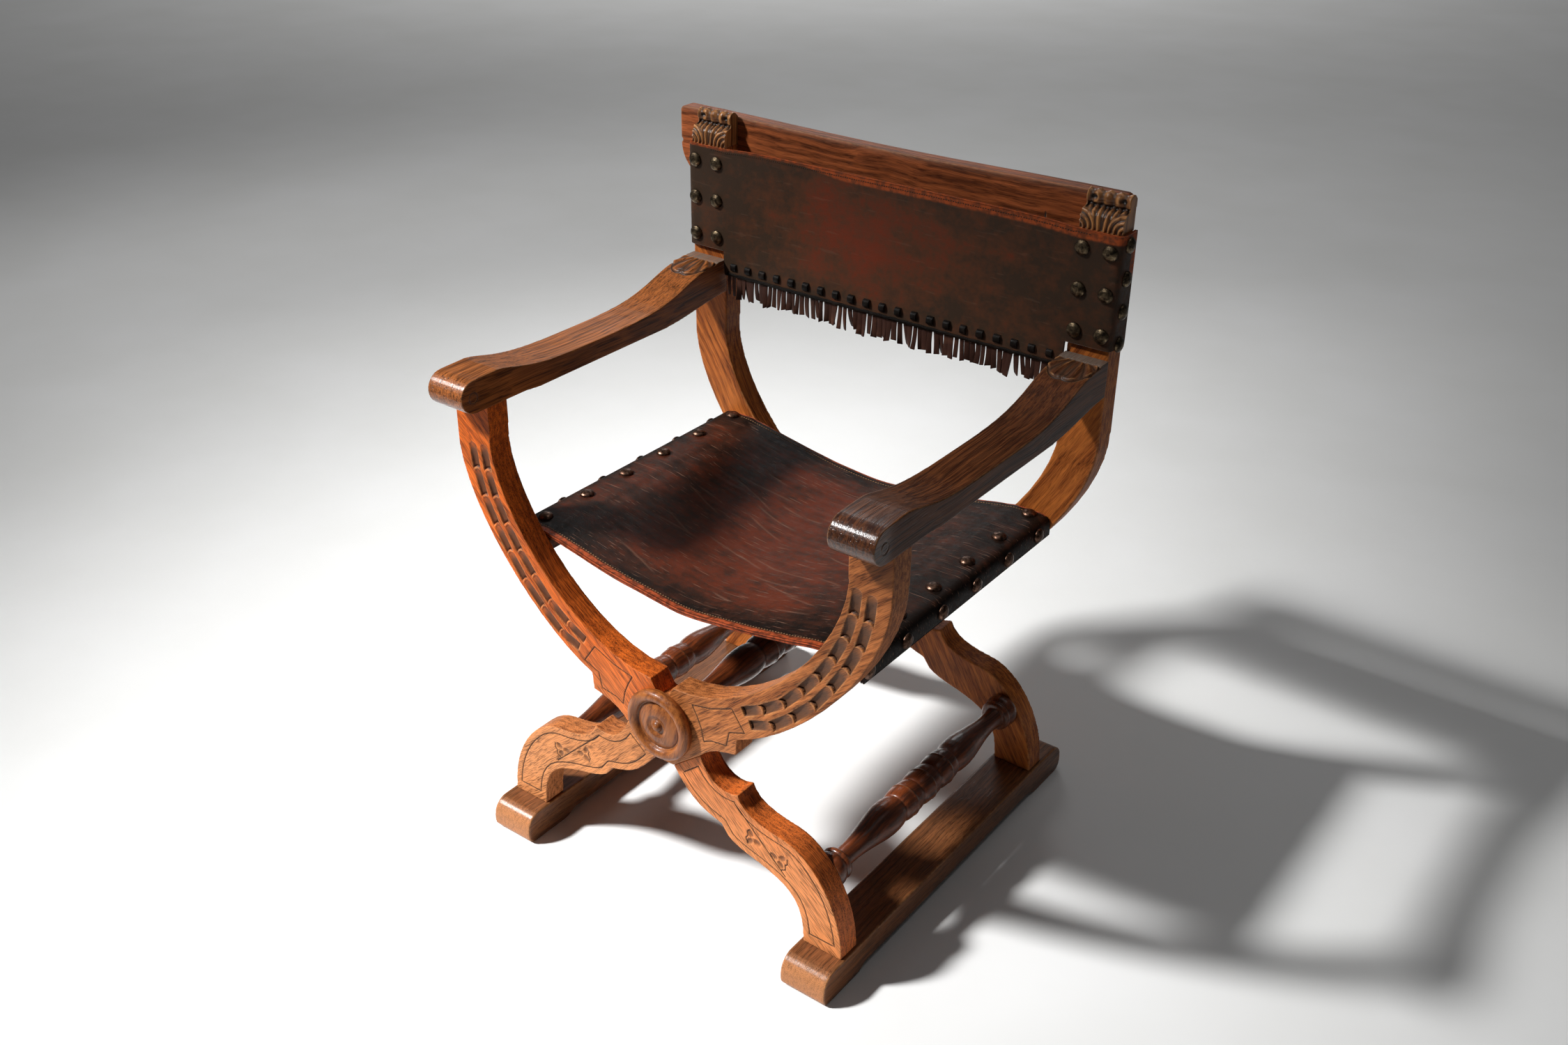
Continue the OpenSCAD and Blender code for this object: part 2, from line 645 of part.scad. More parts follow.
// Fringe: a band of leather cut into hanging strips
module back_fringe() {
    pitch = lace_w/fringe_n;
    z1 = back_z - drop_h - lay;
    color(hide) board(rear_in - lay - back_t + 1.5, 2) difference() {
        translate([-lace_w/2, z1 - fringe_h]) square([lace_w, fringe_h]);
        for (i = [1:fringe_n - 1])
            translate([-lace_w/2 + pitch*i - 0.8, z1 - fringe_h - over])
                square([1.6, fringe_h - 6 + over]);
    }
}

// Domed nail head standing along +Z
module nail() {
    r = nail_d/2;
    rotate_extrude($fn = 32) polygon(concat([[0, 0], [r, 0]],
        [for (i = [0:5]) let (a = 90*i/5) [r*cos(a), 0.8 + (nail_h - 0.8)*sin(a)]]));
}

// Two rows along a seat rail: one on its top, one on the outer flap
module seat_nails_right() {
    top = rail_z + seat_t + lay;
    color(brass) for (i = [0:seat_nails - 1]) {
        y = mid_y + seat_pitch*(i - (seat_nails - 1)/2);
        translate([rx1 - nail_inset, y + nail_back, top]) nail();
        translate([rx1 + lay + seat_t, y - nail_fore, rail_z - flap_h/2 + 2])
            rotate([0, 90, 0]) nail();
    }
}
module seat_nails_left() { mirror([1, 0, 0]) seat_nails_right(); }

// On each post: two columns of three on the front, and four on the outer side
module back_nails_right() {
    z0 = post_z - nail_top;
    z1 = post_z - side_nail_top;
    color(brass) {
        for (i = [0:2]) for (s = [-1, 1])
            translate([xm + s*col_pitch/2, rear_in - lay - back_t, z0 - row_pitch*i])
                rotate([90, 0, 0]) nail();
        for (i = [0:3])
            translate([xo + lay + wing_t, rear_in + board_t*0.42, z1 - 0.8*row_pitch*i])
                rotate([0, 90, 0]) nail();
    }
}
module back_nails_left() { mirror([1, 0, 0]) back_nails_right(); }

place() front_member_a();
place() front_member_b();
place() rear_member_a();
place() rear_member_b();
place() runner_left();
place() runner_right();
place() arm_left();
place() arm_right();
place() stretcher_middle();
place() stretcher_left();
place() stretcher_right();
place() seat_rail_left();
place() seat_rail_right();
place() boss_front();
place() boss_rear();
place() crest_board();
place() crest_screws();
place() finial_left();
place() finial_right();
place() seat_leather();
place() back_leather();
place() back_lacing();
place() back_fringe();
place() seat_nails_left();
place() seat_nails_right();
place() back_nails_left();
place() back_nails_right();
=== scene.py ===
import math
import random

import bmesh
import bpy
import numpy as np
from mathutils import Matrix, Vector, noise
from mathutils.kdtree import KDTree


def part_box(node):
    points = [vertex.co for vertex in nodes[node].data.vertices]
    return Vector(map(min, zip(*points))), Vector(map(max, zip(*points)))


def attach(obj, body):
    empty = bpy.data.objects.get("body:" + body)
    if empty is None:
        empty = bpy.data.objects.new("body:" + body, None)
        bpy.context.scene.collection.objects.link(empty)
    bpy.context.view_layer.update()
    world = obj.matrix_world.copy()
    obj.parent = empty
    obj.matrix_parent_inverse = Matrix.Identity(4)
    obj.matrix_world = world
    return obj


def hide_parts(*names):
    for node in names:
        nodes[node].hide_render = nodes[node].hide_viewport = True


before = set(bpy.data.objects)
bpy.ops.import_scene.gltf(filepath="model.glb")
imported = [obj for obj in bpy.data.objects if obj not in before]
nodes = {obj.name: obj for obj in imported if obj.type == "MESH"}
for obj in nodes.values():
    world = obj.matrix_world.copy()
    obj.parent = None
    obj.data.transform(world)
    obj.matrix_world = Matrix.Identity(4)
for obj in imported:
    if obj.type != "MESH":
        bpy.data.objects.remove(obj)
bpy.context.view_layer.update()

# ---- Camera
# The chair is seen from its front right and from above, as in the photograph.
# Its place, slight roll and lens were solved from the chair's own edges.
scene = bpy.context.scene
azimuth, elevation, roll = (math.radians(a) for a in (36.52, 28.97, 0.54))
camera_place = Vector((1.10172, -1.47368, 1.46907))
behind = Vector((math.sin(azimuth) * math.cos(elevation),
                 -math.cos(azimuth) * math.cos(elevation), math.sin(elevation)))
level = Vector((math.cos(azimuth), math.sin(azimuth), 0))
upward = behind.cross(level)
right = math.cos(roll) * level + math.sin(roll) * upward
up = -math.sin(roll) * level + math.cos(roll) * upward
lens = bpy.data.cameras.new("camera")
lens.sensor_width, lens.lens, lens.clip_end = 36, 36.32, 60
camera = bpy.data.objects.new("camera", lens)
scene.collection.objects.link(camera)
turned = Matrix((right, up, behind)).transposed().to_4x4()
turned.translation = camera_place
camera.matrix_world = turned
scene.camera = camera


# ---- Front frame
# Two crossed boards of stained oak in a halved lap, sawn to an S and carved with gouges:
# two rows of hollow scales down each arc, incised lines, a bordered leg and small trefoils.
mm = 0.001
middle = sum(corner.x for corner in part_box("boss_front")) / 2


def srgb(text):
    """Linear colour of an sRGB hex value."""
    parts = [int(text[i:i + 2], 16) / 255 for i in (1, 3, 5)]
    return [p / 12.92 if p <= 0.04045 else ((p + 0.055) / 1.055) ** 2.4 for p in parts] + [1.0]


def add(tree, kind, links=None, out=0, stops=(), **settings):
    """Adds a node and gives back one of its outputs. links gives each of its sockets a value, or
    the output that it follows."""
    made = tree.nodes.new("ShaderNode" + kind)
    for name, value in settings.items():
        setattr(made, name, value)
    for i, (place, colour) in enumerate(stops):
        elements = made.color_ramp.elements
        stop = elements[i] if i < 2 else elements.new(place)
        stop.position = place
        stop.color = srgb(colour)
    for key, value in (links or {}).items():
        if isinstance(value, bpy.types.NodeSocket):
            tree.links.new(value, made.inputs[key])
        else:
            made.inputs[key].default_value = value
    return made.outputs[out] if made.outputs else None


def shaded(name):
    """A new material, and its empty node tree."""
    material = bpy.data.materials.new(name)
    material.use_nodes = True
    material.node_tree.nodes.clear()
    return material, material.node_tree


def stained_oak(name, grain, light, dark, strokes=0.55, gloss=0.44, shift=0.0, wax=0.0, vein=18,
                faded_and_lit=0.0, hands=False):
    """Ring-porous oak, sawn, stained and waxed, which shows as streaks of light and dark rings,
    short dark pores, arrises painted pale for wear and highlight, hollows painted dark for dust and
    shade, and a soft shine.

    grain is the way its fibres run and shift another part of the log. strokes is how dark the pores
    are and vein their length in mm. gloss is the waxed wood's roughness, wax the share of a harder
    polish and hands whether hands have polished it further where it is marked "handled". faded is
    how far the fronts are painted paler near the floor, as fading and as painted light.
    """
    bleached_and_lit, in_pores, pale_arris_wear_and_highlight = "#EEA268", "#351609", "#D09660"
    bare_wood_and_sheen, dust_sheen_and_shade, grime_and_deep_shade = "#7C6E62", "#5B4030", "#0D0603"
    material, tree = shaded(name)
    place = add(tree, "TexCoord", out="Object")
    turn = Vector(grain).rotation_difference(Vector((1, 0, 0))).to_euler()
    board = add(tree, "Mapping", {"Vector": place, "Location": (31 * shift, 17 * shift, 53 * shift),
                                  "Rotation": turn, "Scale": (1000, 1000, 1000)})
    drift = add(tree, "TexNoise", {"Vector": board, "Scale": 1 / 130, "Detail": 1.0}, out="Color")
    waved = add(tree, "VectorMath", {0: drift, 1: (0, 15, 15), 2: board},
                operation="MULTIPLY_ADD")

    def along(length, width, depth=None, detail=1.0):
        """A pattern drawn out along the fibres, with its sizes in mm."""
        spread = add(tree, "Mapping", {"Vector": waved,
                                       "Scale": (1 / length, 1 / width, 1 / (depth or width))})
        return add(tree, "TexNoise", {"Vector": spread, "Scale": 1.0, "Detail": detail})

    # Rings are about 3 mm wide and clouds in the stain 75 mm, and the grain wanders by 15 mm over
    # 130 mm. Oak's pores are 0.2 mm wide and its fibres finer, too fine for the picture, so they
    # are drawn 0.8 mm or more and 1.3 mm wide.
    rings = along(220, 3.2, 6)
    fibres = along(30, 1.3)
    pores = along(vein, max(0.8, vein / 55), detail=0.0)
    patches = add(tree, "TexNoise", {"Vector": board, "Scale": 1 / 75, "Detail": 2.0})
    striped = add(tree, "MapRange", {0: rings, 1: 0.30, 2: 0.64, 3: 0.0, 4: 1.0})
    figure = add(tree, "Mix", {0: striped, 6: srgb(dark), 7: srgb(light)}, out=2, data_type="RGBA")
    clouded = add(tree, "MapRange", {0: patches, 1: 0.3, 2: 0.7, 3: 0.76, 4: 1.12})
    fibrous = add(tree, "MapRange", {0: fibres, 1: 0.3, 2: 0.7, 3: 0.88, 4: 1.12})
    value = add(tree, "Math", {0: clouded, 1: fibrous}, operation="MULTIPLY")
    toned = add(tree, "HueSaturation", {"Color": figure, "Value": value})
    if faded_and_lit:
        # The legs' fronts are painted paler from about a hand's width below the seat down: partly
        # fading, partly painted light where a lamp aimed low falls on them
        height = add(tree, "SeparateXYZ", {"Vector": place}, out="Z")
        facing = add(tree, "SeparateXYZ", {"Vector": add(tree, "TexCoord", out="Normal")}, out="Y")
        low_down = add(tree, "MapRange", {0: height, 1: 0.36, 2: 0.14, 3: 0.0, 4: faded_and_lit})
        in_front = add(tree, "MapRange", {0: facing, 1: -0.8, 2: -0.2, 3: 1.0, 4: 0.2})
        pale = add(tree, "Math", {0: low_down, 1: in_front}, operation="MULTIPLY")
        toned = add(tree, "Mix", {0: pale, 6: toned, 7: srgb(bleached_and_lit)}, out=2, data_type="RGBA")
    in_pore = add(tree, "MapRange", {0: pores, 1: 0.51, 2: 0.58, 3: 0.0, 4: strokes})
    in_dark_ring = add(tree, "MapRange", {0: rings, 1: 0.36, 2: 0.60, 3: 1.0, 4: 0.5})
    pit = add(tree, "Math", {0: in_pore, 1: in_dark_ring}, operation="MULTIPLY")
    pitted = add(tree, "Mix", {0: pit, 6: toned, 7: srgb(in_pores)}, out=2, data_type="RGBA")
    # Arrises are painted pale in patches 7 mm wide, as wear and as painted highlight, and bare wood
    # greys along its fibres, as wear and on the crest's top also as painted sheen
    rubbed = add(tree, "TexNoise", {"Vector": board, "Scale": 1 / 7, "Detail": 3.0})
    patchy = add(tree, "MapRange", {0: rubbed, 1: 0.35, 2: 0.65, 3: 0.10, 4: 0.60})
    worn = add(tree, "Attribute", out="Fac", attribute_name="worn")
    arris_wear_and_highlight_mask = add(tree, "Math", {0: worn, 1: patchy}, operation="MULTIPLY")
    edged = add(tree, "Mix", {0: arris_wear_and_highlight_mask, 6: pitted, 7: srgb(pale_arris_wear_and_highlight)}, out=2, data_type="RGBA")
    bare = add(tree, "Attribute", out="Fac", attribute_name="bare")
    stringy = add(tree, "MapRange", {0: fibres, 1: 0.42, 2: 0.58, 3: 0.45, 4: 1.0})
    ragged = add(tree, "Math", {0: bare, 1: stringy}, operation="MULTIPLY")
    greyed = add(tree, "Mix", {0: ragged, 6: edged, 7: srgb(bare_wood_and_sheen)}, out=2, data_type="RGBA")
    # Hollows are painted brown-grey, as dust and as painted shade and sheen, and the deepest ones
    # near black, as grime and painted shade
    sunk = add(tree, "Attribute", out="Fac", attribute_name="sunk")
    in_hollow = add(tree, "MapRange", {0: sunk, 1: 0.0, 2: 0.6, 3: 0.0, 4: 0.88})
    dusted_and_shaded = add(tree, "Mix", {0: in_hollow, 6: greyed, 7: srgb(dust_sheen_and_shade)}, out=2, data_type="RGBA")
    in_deep = add(tree, "MapRange", {0: sunk, 1: 0.6, 2: 0.95, 3: 0.0, 4: 0.94})
    grimed_and_shaded = add(tree, "Mix", {0: in_deep, 6: dusted_and_shaded, 7: srgb(grime_and_deep_shade)}, out=2, data_type="RGBA")
    waxed = add(tree, "Math", {0: fibres, 1: 0.20, 2: gloss - 0.06}, operation="MULTIPLY_ADD")
    rough = add(tree, "Math", {0: ragged, 1: 0.3, 2: waxed}, operation="MULTIPLY_ADD")
    raised = add(tree, "Math", {0: fibres, 1: 0.5}, operation="MULTIPLY")
    relief = add(tree, "Math", {0: pit, 1: -1.2, 2: raised}, operation="MULTIPLY_ADD")
    bump = add(tree, "Bump", {"Height": relief, "Strength": 0.5, "Distance": 0.3 * mm})
    shine = wax
    if hands:
        handled = add(tree, "Attribute", out="Fac", attribute_name="handled")
        shine = add(tree, "Math", {0: handled, 1: 0.75, 2: wax}, operation="MULTIPLY_ADD")
    oak = add(tree, "BsdfPrincipled", {
        "Base Color": grimed_and_shaded, "Roughness": rough, "Normal": bump, "IOR": 1.5,
        "Specular IOR Level": 0.18, "Coat Weight": shine, "Coat Roughness": 0.24,
        "Coat Normal": bump})
    add(tree, "OutputMaterial", {"Surface": oak})
    return material


def linked(name, mesh):
    """A new piece with this mesh, riding on the chair's one body."""
    piece = bpy.data.objects.new(name, mesh)
    scene.collection.objects.link(piece)
    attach(piece, "root")
    return piece


def evaluated(piece):
    """The piece's mesh with its modifiers applied."""
    graph = bpy.context.evaluated_depsgraph_get()
    return bpy.data.meshes.new_from_object(piece.evaluated_get(graph), depsgraph=graph)


def points_of(mesh):
    flat = np.empty(len(mesh.vertices) * 3)
    mesh.vertices.foreach_get("co", flat)
    return flat.reshape(-1, 3)


def normals_of(mesh):
    flat = np.empty(len(mesh.vertices) * 3, np.float32)
    mesh.vertex_normals.foreach_get("vector", flat)
    return flat.reshape(-1, 3).astype(float)


def set_points(mesh, points):
    mesh.vertices.foreach_set("co", points.ravel())
    mesh.update()


def averaged(mesh, values):
    """The mean of each vertex's neighbours."""
    flat = np.empty(len(mesh.edges) * 2, np.int32)
    mesh.edges.foreach_get("vertices", flat)
    a, b = flat[::2], flat[1::2]
    n = len(mesh.vertices)
    count = np.maximum(np.bincount(a, minlength=n) + np.bincount(b, minlength=n), 1)
    columns = values.reshape(n, -1)
    total = [np.bincount(a, c[b], n) + np.bincount(b, c[a], n) for c in columns.T]
    return (np.array(total) / count).T.reshape(values.shape)


def set_attribute(mesh, name, values):
    layer = mesh.attributes.get(name) or mesh.attributes.new(name, "FLOAT", "POINT")
    layer.data.foreach_set("value", np.clip(values, 0, 1).astype(np.float32))


coarser = 1.0
most_faces = 190000


def dense_copy(node, cell, rounds=3):
    """A fine, even mesh of a CAD node's surface, with its arrises eased as by wear."""
    cell *= coarser
    mesh = nodes[node].data.copy()
    welded = bmesh.new()
    welded.from_mesh(mesh)
    bmesh.ops.remove_doubles(welded, verts=welded.verts, dist=0.01 * mm)
    welded.to_mesh(mesh)
    welded.free()
    piece = linked(node + "_oak", mesh)
    cells = piece.modifiers.new("cells", "REMESH")
    cells.mode, cells.voxel_size = "VOXEL", cell
    fine = evaluated(piece)
    piece.modifiers.clear()
    piece.data = fine
    points = points_of(fine)
    for _ in range(rounds):
        points += 0.5 * (averaged(fine, points) - points)
    set_points(fine, points)
    return piece


def clothe(mesh, material):
    mesh.materials.clear()
    mesh.materials.append(material)


def finished(piece, node, material, cell, sunk=None, bare=None):
    """Marks the arrises to be painted pale, for wear and highlight, and the hollows to be painted
    dark, for grime and shade, thins the flat places and adds the finish.
    """
    mesh = piece.data
    points, normals = points_of(mesh), normals_of(mesh)
    cell *= coarser
    # How far a point stands out from its neighbours: arrises are painted pale, as wear and painted
    # highlight, and hollows dark, as grime and painted shade
    bend = -np.einsum("ij,ij->i", averaged(mesh, points) - points, normals) / cell
    for _ in range(2):
        bend += 0.5 * (averaged(mesh, bend) - bend)
    set_attribute(mesh, "worn", (bend - 0.035) * 9)
    set_attribute(mesh, "bare", np.zeros(len(points)) if bare is None else bare)
    set_attribute(mesh, "sunk", np.clip((-bend - 0.03) * 6, 0, 0.7) if sunk is None
                  else np.maximum(sunk, np.clip((-bend - 0.05) * 5, 0, 0.6)))
    faces = 2 * len(mesh.polygons)
    if faces > most_faces:
        thin = piece.modifiers.new("thin", "DECIMATE")
        thin.ratio = most_faces / faces
        piece.data = evaluated(piece)
        piece.modifiers.clear()
    clothe(piece.data, material)
    piece.data.polygons.foreach_set("use_smooth", np.ones(len(piece.data.polygons), bool))
    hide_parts(node)


def ease(t):
    t = np.clip(t, 0, 1)
    return t * t * (3 - 2 * t)


# Tops of the scales down an arc, in mm from the chair's middle and above the floor
outer_scales = [(306, 587), (302, 550), (292, 513), (275, 477), (255, 444), (231, 410),
                (202, 380), (172, 354), (139, 341)]
inner_scales = [(286, 589), (282, 553), (272, 518), (256, 484), (236, 452), (214, 423),
                (188, 394), (158, 372), (128, 356)]
# Half a scale's width, the radius of its round top and the flat rim between two, and its depth at
# the top, the fall along it and the last dip at its foot, in mm
scale_half, scale_round, scale_rim = 6.9, 7.6, 2.4
scale_start, scale_fall, scale_dip = 1.0, 2.4, 1.8
# Incised lines: the cartouche beside the crossing, then the leg's border, cross line and trefoils
arc_lines = [[(49, 331.6), (56.4, 318.1), (62.7, 303), (66.7, 283.6), (77.9, 289.7), (89, 291.6),
              (102.1, 293.4), (106.7, 315.4), (130.4, 325), (111.4, 352.6), (78.8, 338.4),
              (49, 331.6)]]
leg_lines = [[(-57.2, 241.5), (-33.1, 221.4)], [(-267.6, 62), (-233.3, 62)],
             [(-114, 211), (-194, 134)],
             [(-196.5, 162.4), (-197.1, 155.1), (-193.5, 152), (-194.1, 144.7), (-187.8, 141.7)],
             [(-138.5, 180.8), (-133.8, 176), (-135.4, 170.6), (-132, 165.3), (-135, 158)]]
border_inset, line_half, line_deep = 10.2, 1.0, 1.3
lobe_long, lobe_half, lobe_deep = 6.0, 4.0, 1.7
lobes = [((-182, 156), [(-189, 160.5), (-186.5, 149), (-176, 158)]),
         ((-143.5, 168), [(-150, 165.5), (-139.5, 175.5), (-138.5, 162.5)])]


def scale_depth(x, z, tops):
    """Depth of a row of hollow scales: each starts shallow under a round rim and deepens. Also how
    dark each is painted, as painted shade: its floor, and most of all the cut at its foot.
    """
    depth, tint = np.zeros_like(x), np.zeros_like(x)
    for i, (top, end) in enumerate(zip(tops, tops[1:])):
        run = math.hypot(end[0] - top[0], end[1] - top[1])
        dx, dz = (end[0] - top[0]) / run, (end[1] - top[1]) / run
        u = (x - top[0]) * dx + (z - top[1]) * dz
        v = (x - top[0]) * dz - (z - top[1]) * dx
        near = (np.abs(v) < scale_half + 1) & (u > -2) & (u < run + 9)
        if not near.any():
            continue
        u, v = u[near], v[near]
        bulge = scale_round - np.sqrt(np.maximum(scale_round ** 2 - v ** 2, 0.1))
        start = bulge + scale_rim
        stop = run + (bulge if i < len(tops) - 2 else 0)
        way = (u - start) / np.maximum(stop - start, 1)
        inside = (ease((scale_half - np.abs(v)) / 1.0) * ease((u - start) / 1.2 + 0.1)
                  * ease((stop - u) / 0.8))
        hollow = 1.0 - 0.5 * (np.abs(v) / scale_half) ** 2.5
        deep = (scale_start + scale_fall * ease(way * 1.3)
                + scale_dip * np.exp(-((stop - u) / 2.0) ** 2)) * hollow
        depth[near] = np.maximum(depth[near], deep * inside)
        # Painted shade: the floor darkens as the hollow deepens, and the cut at its foot is nearly
        # black
        hollow_floor_painted_shade = 0.30 + 0.34 * ease(way * 2.5)
        dark = np.clip(inside * 1.5, 0, 1) * np.maximum(
            hollow_floor_painted_shade, 1.0 * np.exp(-((stop - u) / 1.7) ** 4))
        tint[near] = np.maximum(tint[near], dark)
    return depth, tint


def line_distance(x, z, line):
    """Distance in mm from each point to a line through the given points."""
    nearest = np.full_like(x, 99.0)
    for (ax, az), (bx, bz) in zip(line, line[1:]):
        length = (bx - ax) ** 2 + (bz - az) ** 2
        t = np.clip(((x - ax) * (bx - ax) + (z - az) * (bz - az)) / length, 0, 1)
        nearest = np.minimum(nearest, np.hypot(x - ax - t * (bx - ax), z - az - t * (bz - az)))
    return nearest


def edge_distance(node, x, z, side, face_y, reach):
    """Distance in mm from each point of a board's face to the nearest of its edges."""
    shape = bmesh.new()
    shape.from_mesh(nodes[node].data)
    bmesh.ops.remove_doubles(shape, verts=shape.verts, dist=0.01 * mm)
    spots = []
    for e in shape.edges:
        a, b = (v.co for v in e.verts)
        if (max(abs(a.y - face_y), abs(b.y - face_y)) < 0.05 * mm and len(e.link_faces) == 2
                and e.calc_face_angle() > 0.6):
            steps = max(2, int((b - a).length / mm))
            spots += [a.lerp(b, k / steps) for k in range(steps + 1)]
    shape.free()
    tree = KDTree(len(spots))
    for i, p in enumerate(spots):
        tree.insert((side * (p.x - middle) / mm, 0, p.z / mm), i)
    tree.balance()
    found = np.full_like(x, reach)
    for i, (px, pz) in enumerate(zip(x, z)):
        found[i] = min(reach, tree.find((px, 0, pz))[2])
    return found


front_cell = 1.0 * mm
front_oak = {
    -1: stained_oak("stained_oak_left_board", (-0.72, 0, 0.69), "#EA7228", "#B4521A",
                    strokes=0.7, faded_and_lit=0.7),
    1: stained_oak("stained_oak_right_board", (0.76, 0, 0.65), "#CA7A42", "#905026",
                   strokes=0.7, faded_and_lit=0.6, shift=3.3)}
for node, side in (("front_member_a", -1), ("front_member_b", 1)):
    face_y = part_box(node)[0].y
    piece = dense_copy(node, front_cell)
    points, normals = points_of(piece.data), normals_of(piece.data)
    on_face = (normals[:, 1] < -0.3) & (points[:, 1] < face_y + 2 * mm)
    x, z = side * (points[on_face, 0] - middle) / mm, points[on_face, 2] / mm
    depth, tint = np.zeros_like(x), np.zeros_like(x)
    for tops in (outer_scales, inner_scales):
        deeper, darker = scale_depth(x, z, tops)
        depth, tint = np.maximum(depth, deeper), np.maximum(tint, darker)
    leg = ((x < -30) & ((x + 57.2) * -20.1 + (z - 241.5) * -24.1 > 0) & (z > 61))
    border = np.full_like(x, 99.0)
    border[leg] = np.abs(edge_distance(node, x[leg], z[leg], side, face_y, 40) - border_inset)
    cut = border
    for line in arc_lines + leg_lines:
        cut = np.minimum(cut, line_distance(x, z, line))
    groove = np.clip(1 - cut / line_half, 0, 1)
    # Painted shade in the cuts: the trefoils' lobes are painted half dark, the incised lines nearly
    # black
    for (cx, cz), leaves in lobes:
        for lx, lz in leaves:
            out = math.atan2(lz - cz, lx - cx)
            u = ((x - lx) * math.cos(out) + (z - lz) * math.sin(out)) / lobe_long
            v = ((z - lz) * math.cos(out) - (x - lx) * math.sin(out)) / lobe_half
            bowl = np.clip(1.15 - (u * u + v * v), 0, 1) ** 0.6
            depth, tint = np.maximum(depth, lobe_deep * bowl), np.maximum(tint, 0.5 * bowl)
    depth = np.maximum(depth, line_deep * groove)
    tint = np.maximum(tint, 0.95 * np.clip(groove * 1.6, 0, 1))
    points[on_face, 1] += depth * mm
    set_points(piece.data, points)
    sunk = np.zeros(len(points))
    sunk[on_face] = tint
    finished(piece, node, front_oak[side], front_cell, sunk)

# ---- Rear frame
# The same crossed boards of stained oak again, left plain and running on upwards as the back
# posts. They were handled less, so the stain is deeper, and they are painted darker still as
# shade, for they stand in the chair's own shade.
rear_cell = 1.5 * mm
for node, grain, shift in (("rear_member_a", (-0.5, 0, 0.86), 7.1),
                           ("rear_member_b", (0.5, 0, 0.86), 9.4)):
    rear_oak_stain_and_shade = stained_oak("stained_oak_" + node, grain, "#CA7434", "#904A1E", shift=shift)
    finished(dense_copy(node, rear_cell, 2), node, rear_oak_stain_and_shade, rear_cell)

# ---- Runners, stretchers, bosses and rails
# Sledge feet sawn from thick boards, stretchers and bosses turned on a lathe and waxed to a
# soft shine, and two plain rails under the seat.
foot_oak = stained_oak("stained_oak_runners", (0, 1, 0), "#764526", "#442613",
                       strokes=0.6, gloss=0.36, shift=2.2, wax=0.2, faded_and_lit=0.5)
turned_oak = stained_oak("waxed_turned_oak", (0, 1, 0), "#7C3C1C", "#4A2411",
                         strokes=0.35, gloss=0.32, shift=5.6, wax=0.7)
boss_oak = stained_oak("waxed_oak_boss", (0.3, 0, 1), "#A8632F", "#7E431C",
                       strokes=0.4, gloss=0.38, shift=8.8, wax=0.4)
for likes, oak, cell, rounds in (
        (("runner_left", "runner_right"), foot_oak, 1.4 * mm, 3),
        (("stretcher_middle", "stretcher_left", "stretcher_right"), turned_oak, 0.9 * mm, 1),
        (("boss_front", "boss_rear"), boss_oak, 0.7 * mm, 2)):
    for node in likes:
        finished(dense_copy(node, cell, rounds), node, oak, cell)
for node in ("seat_rail_left", "seat_rail_right"):
    clothe(nodes[node].data, foot_oak)

# ---- Arms
# Each arm is one piece of open-grained oak, rubbed dark and shiny by hands at its rounded nose,
# with an acanthus leaf cut in low relief on its raised back end.
# The right arm is given a darker stain than the left, as painted shade, for less light falls on it
arm_oak = {
    "arm_left": stained_oak("handled_oak_left_arm", (0, 1, 0), "#B06632", "#80481D",
                            strokes=0.75, gloss=0.36, shift=4.4, wax=0.08, vein=70, hands=True),
    "arm_right": stained_oak("handled_oak_right_arm_painted_shade", (0, 1, 0), "#6A3C20", "#3A2011",
                             strokes=0.95, gloss=0.34, shift=8.1, wax=0.05, vein=90, hands=True)}
arm_cell = 1.0 * mm
